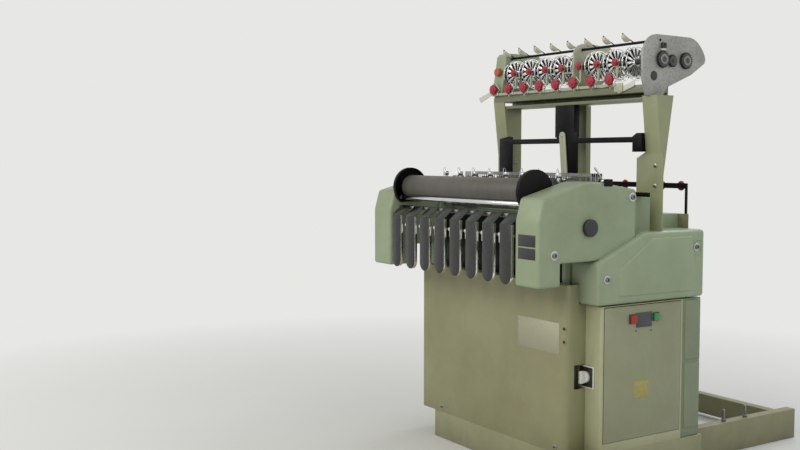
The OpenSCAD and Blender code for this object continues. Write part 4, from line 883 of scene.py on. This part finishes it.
for number, middle in enumerate(knob_x):
    lower = lobed_knob(middle, 0.374, 0.392, lower_knob_z, 0.025)
    fit(lower, f"tension_knob_{number + 1}", red_plastic, "loom", "red_plastic",
        *stands_for("tension_knobs", number))
    if number:
        upper = lobed_knob(middle, 0.408, 0.426, upper_knob_z, 0.017)
        fit(upper, f"upper_knob_{number}", red_plastic, "loom", "red_plastic",
            *stands_for("upper_knobs", number - 1))
fit(dress("knob_bar", 0.0010), "knob_bar_and_fingers", pale, "loom", "pale_paint", "knob_bar")
white_paint = enamel("white_enamel", paint(214, 214, 204), cast=False, low_dirt=False)
fit(dress("end_arms", 0.0008), "slanting_end_arms", white_paint, "loom", "pale_paint", "end_arms")
stops = [block((x + 0.020, x + 0.029), (0.3905, 0.3960), (1.656, 1.668), 0.001) for x in knob_x]
fit(join(stops), "small_thread_stops", white_plastic, "loom", "white_plastic")


# A square of chromed wire stands on its corner around each lower knob and keeps it clear.
# The wire is bent from one piece, with open corners.
wire_reach, wire_y = 0.039, 0.3936
for number, middle in enumerate(knob_x):
    clear()
    bpy.ops.curve.primitive_bezier_circle_add(radius=wire_reach, rotation=(math.pi / 2, 0, 0),
                                              location=(middle, wire_y, lower_knob_z))
    path = bpy.context.object
    for point in path.data.splines[0].bezier_points:
        point.handle_left_type = point.handle_right_type = "VECTOR"
    fit(drawn_wire(path, 0.0019), f"wire_square_{number + 1}", chrome, "loom", "chrome_plate",
        *stands_for("wire_frames", number))


# Above the wheels a black rod carries eight slanting wires. Each ends in a cream ceramic guide.
# The guides are leaf shaped, pressed and fired, and sit under the wires.
finish_node("guide_rod", black_paint)
cream = plastic("cream_ceramic", (0.62, 0.58, 0.46, 1), 0.25)
leaf_half = 0.009
leaf_outline = [(0.4042, 1.8750), (0.4458, 1.8542), (0.4425, 1.8475), (0.4300, 1.8430), (0.4145, 1.8480),
                (0.4042, 1.8600)]
for number, middle in enumerate(tape_x):
    leaf = round_edges(slab("X", leaf_outline, (middle - leaf_half, middle + leaf_half)), 0.0025, 3)
    fit(leaf, f"thread_leaf_{number + 1}", cream, "loom", "cream_plastic", *stands_for("yarn_guides", number))


# A small chromed start lever leans forward at the outer edge of the right head's top.
# A round black knob is set in the side of the same head.
fit(dress("start_lever", 0.0006), "start_lever_rod", chrome, "start_lever", "chrome_plate", "start_lever")
fit(dress("head_knob", 0.003, 3), "head_side_knob", black_plastic, "head_knob", "black_plastic", "head_knob")


# Socket-head screws hold the castings. Each has a hexagonal recess and stands on a bright washer.
# The screw heads are dark steel, and the washers are pale zinc that is partly a painted highlight. Two threaded
# studs stand on the right rail behind the plinth.
bolt_steel = worn_metal("plated_screws", (0.22, 0.23, 0.23, 1), (0.24, 0.38))
# The washers' pale zinc is partly a painted highlight on their rims.
zinc_and_highlight_metal = worn_metal("zinc_washers_painted_highlight", (0.58, 0.59, 0.58, 1), (0.26, 0.40))
washers, screws = [], []


def set_screw(place, way, radius):
    """A washer and a socket head, made pointing up and turned to stand on their face."""
    washer = bar("Z", radius, (0.0, 0.003), (0, 0), 0.0008, 32)
    head = bar("Z", radius * 0.62, (0.002, 0.009), (0, 0), 0.0009, 32)
    cut(head, bar("Z", radius * 0.34, (0.0045, 0.02), (0, 0), 0, 6))
    for piece, group in ((washer, washers), (head, screws)):
        piece.rotation_euler = Vector(way).to_track_quat("Z", "Y").to_euler()
        piece.location = place
        group.append(settle(piece))


for side in (-1, 1):
    for y, z in head_screws:
        set_screw((side * head_outer, y, z), (side, 0, 0), 0.0185)
for x, y, z in ((cover_face, 0.116, 0.857), (recess_floor, 0.637, 0.966)):
    set_screw((x, y, z), (1, 0, 0), 0.0175)
for y in (0.210, 0.500):
    set_screw((right, y, 0.077), (1, 0, 0), 0.013)
for x in (-0.348, 0.470):
    set_screw((x, panel_face, 0.154), (0, -1, 0), 0.010)
for z in (1.228, 1.313):
    set_screw((0.577, 0.440, z), (0, -1, 0), 0.009)
for z in (1.318, 1.336):
    set_screw((-0.411, 0.484, z), (1, 0, 0), 0.005)
stud_x = base_x[1] - rail_width / 2
for y in (0.960, 1.107):
    screws.append(bar("Z", 0.011, (base_z[1], base_z[1] + 0.012), (stud_x, y), 0.001, 6))
    screws.append(bar("Z", 0.006, (base_z[1], base_z[1] + 0.055), (stud_x, y), 0.001, 20))
fit(join(screws), "screws_and_studs", bolt_steel, "loom", "chrome_plate", "fasteners")
fit(join(washers), "screw_washers", zinc_and_highlight_metal, "loom", "chrome_plate")


# Behind the loom two black rails hold a row of long return springs for the healds.
# A third rail carries eight red tension discs.
finish_node("rear_rails", black_paint)
spring_steel = worn_metal("spring_steel", (0.16, 0.16, 0.17, 1), (0.25, 0.40))
coil_radius, wire_radius, coil_turns, coil_rise = 0.0058, 0.0011, 49, 0.0094
spring_offset, spring_foot = 0.012, (0.775, 0.5215)
for number, middle in enumerate(tape_x):
    pair = []
    for offset in (-spring_offset, spring_offset):
        clear()
        bpy.ops.mesh.primitive_circle_add(vertices=5, radius=wire_radius, rotation=(math.pi / 2, 0, 0),
                                          location=(coil_radius, 0, 0))
        coil = settle(bpy.context.object)
        apply(coil, "SCREW", angle=2 * math.pi, screw_offset=coil_rise, iterations=coil_turns, steps=10,
              render_steps=10, use_merge_vertices=True)
        coil.location = (middle + offset, *spring_foot)
        pair.append(settle(coil))
    fit(join(pair), f"return_spring_pair_{number + 1}", spring_steel, "loom", "dark_steel",
        *stands_for("return_springs", number))
fit(dress("tension_discs", 0.0010), "warp_tension_discs", red_plastic, "loom", "red_plastic", "tension_discs")
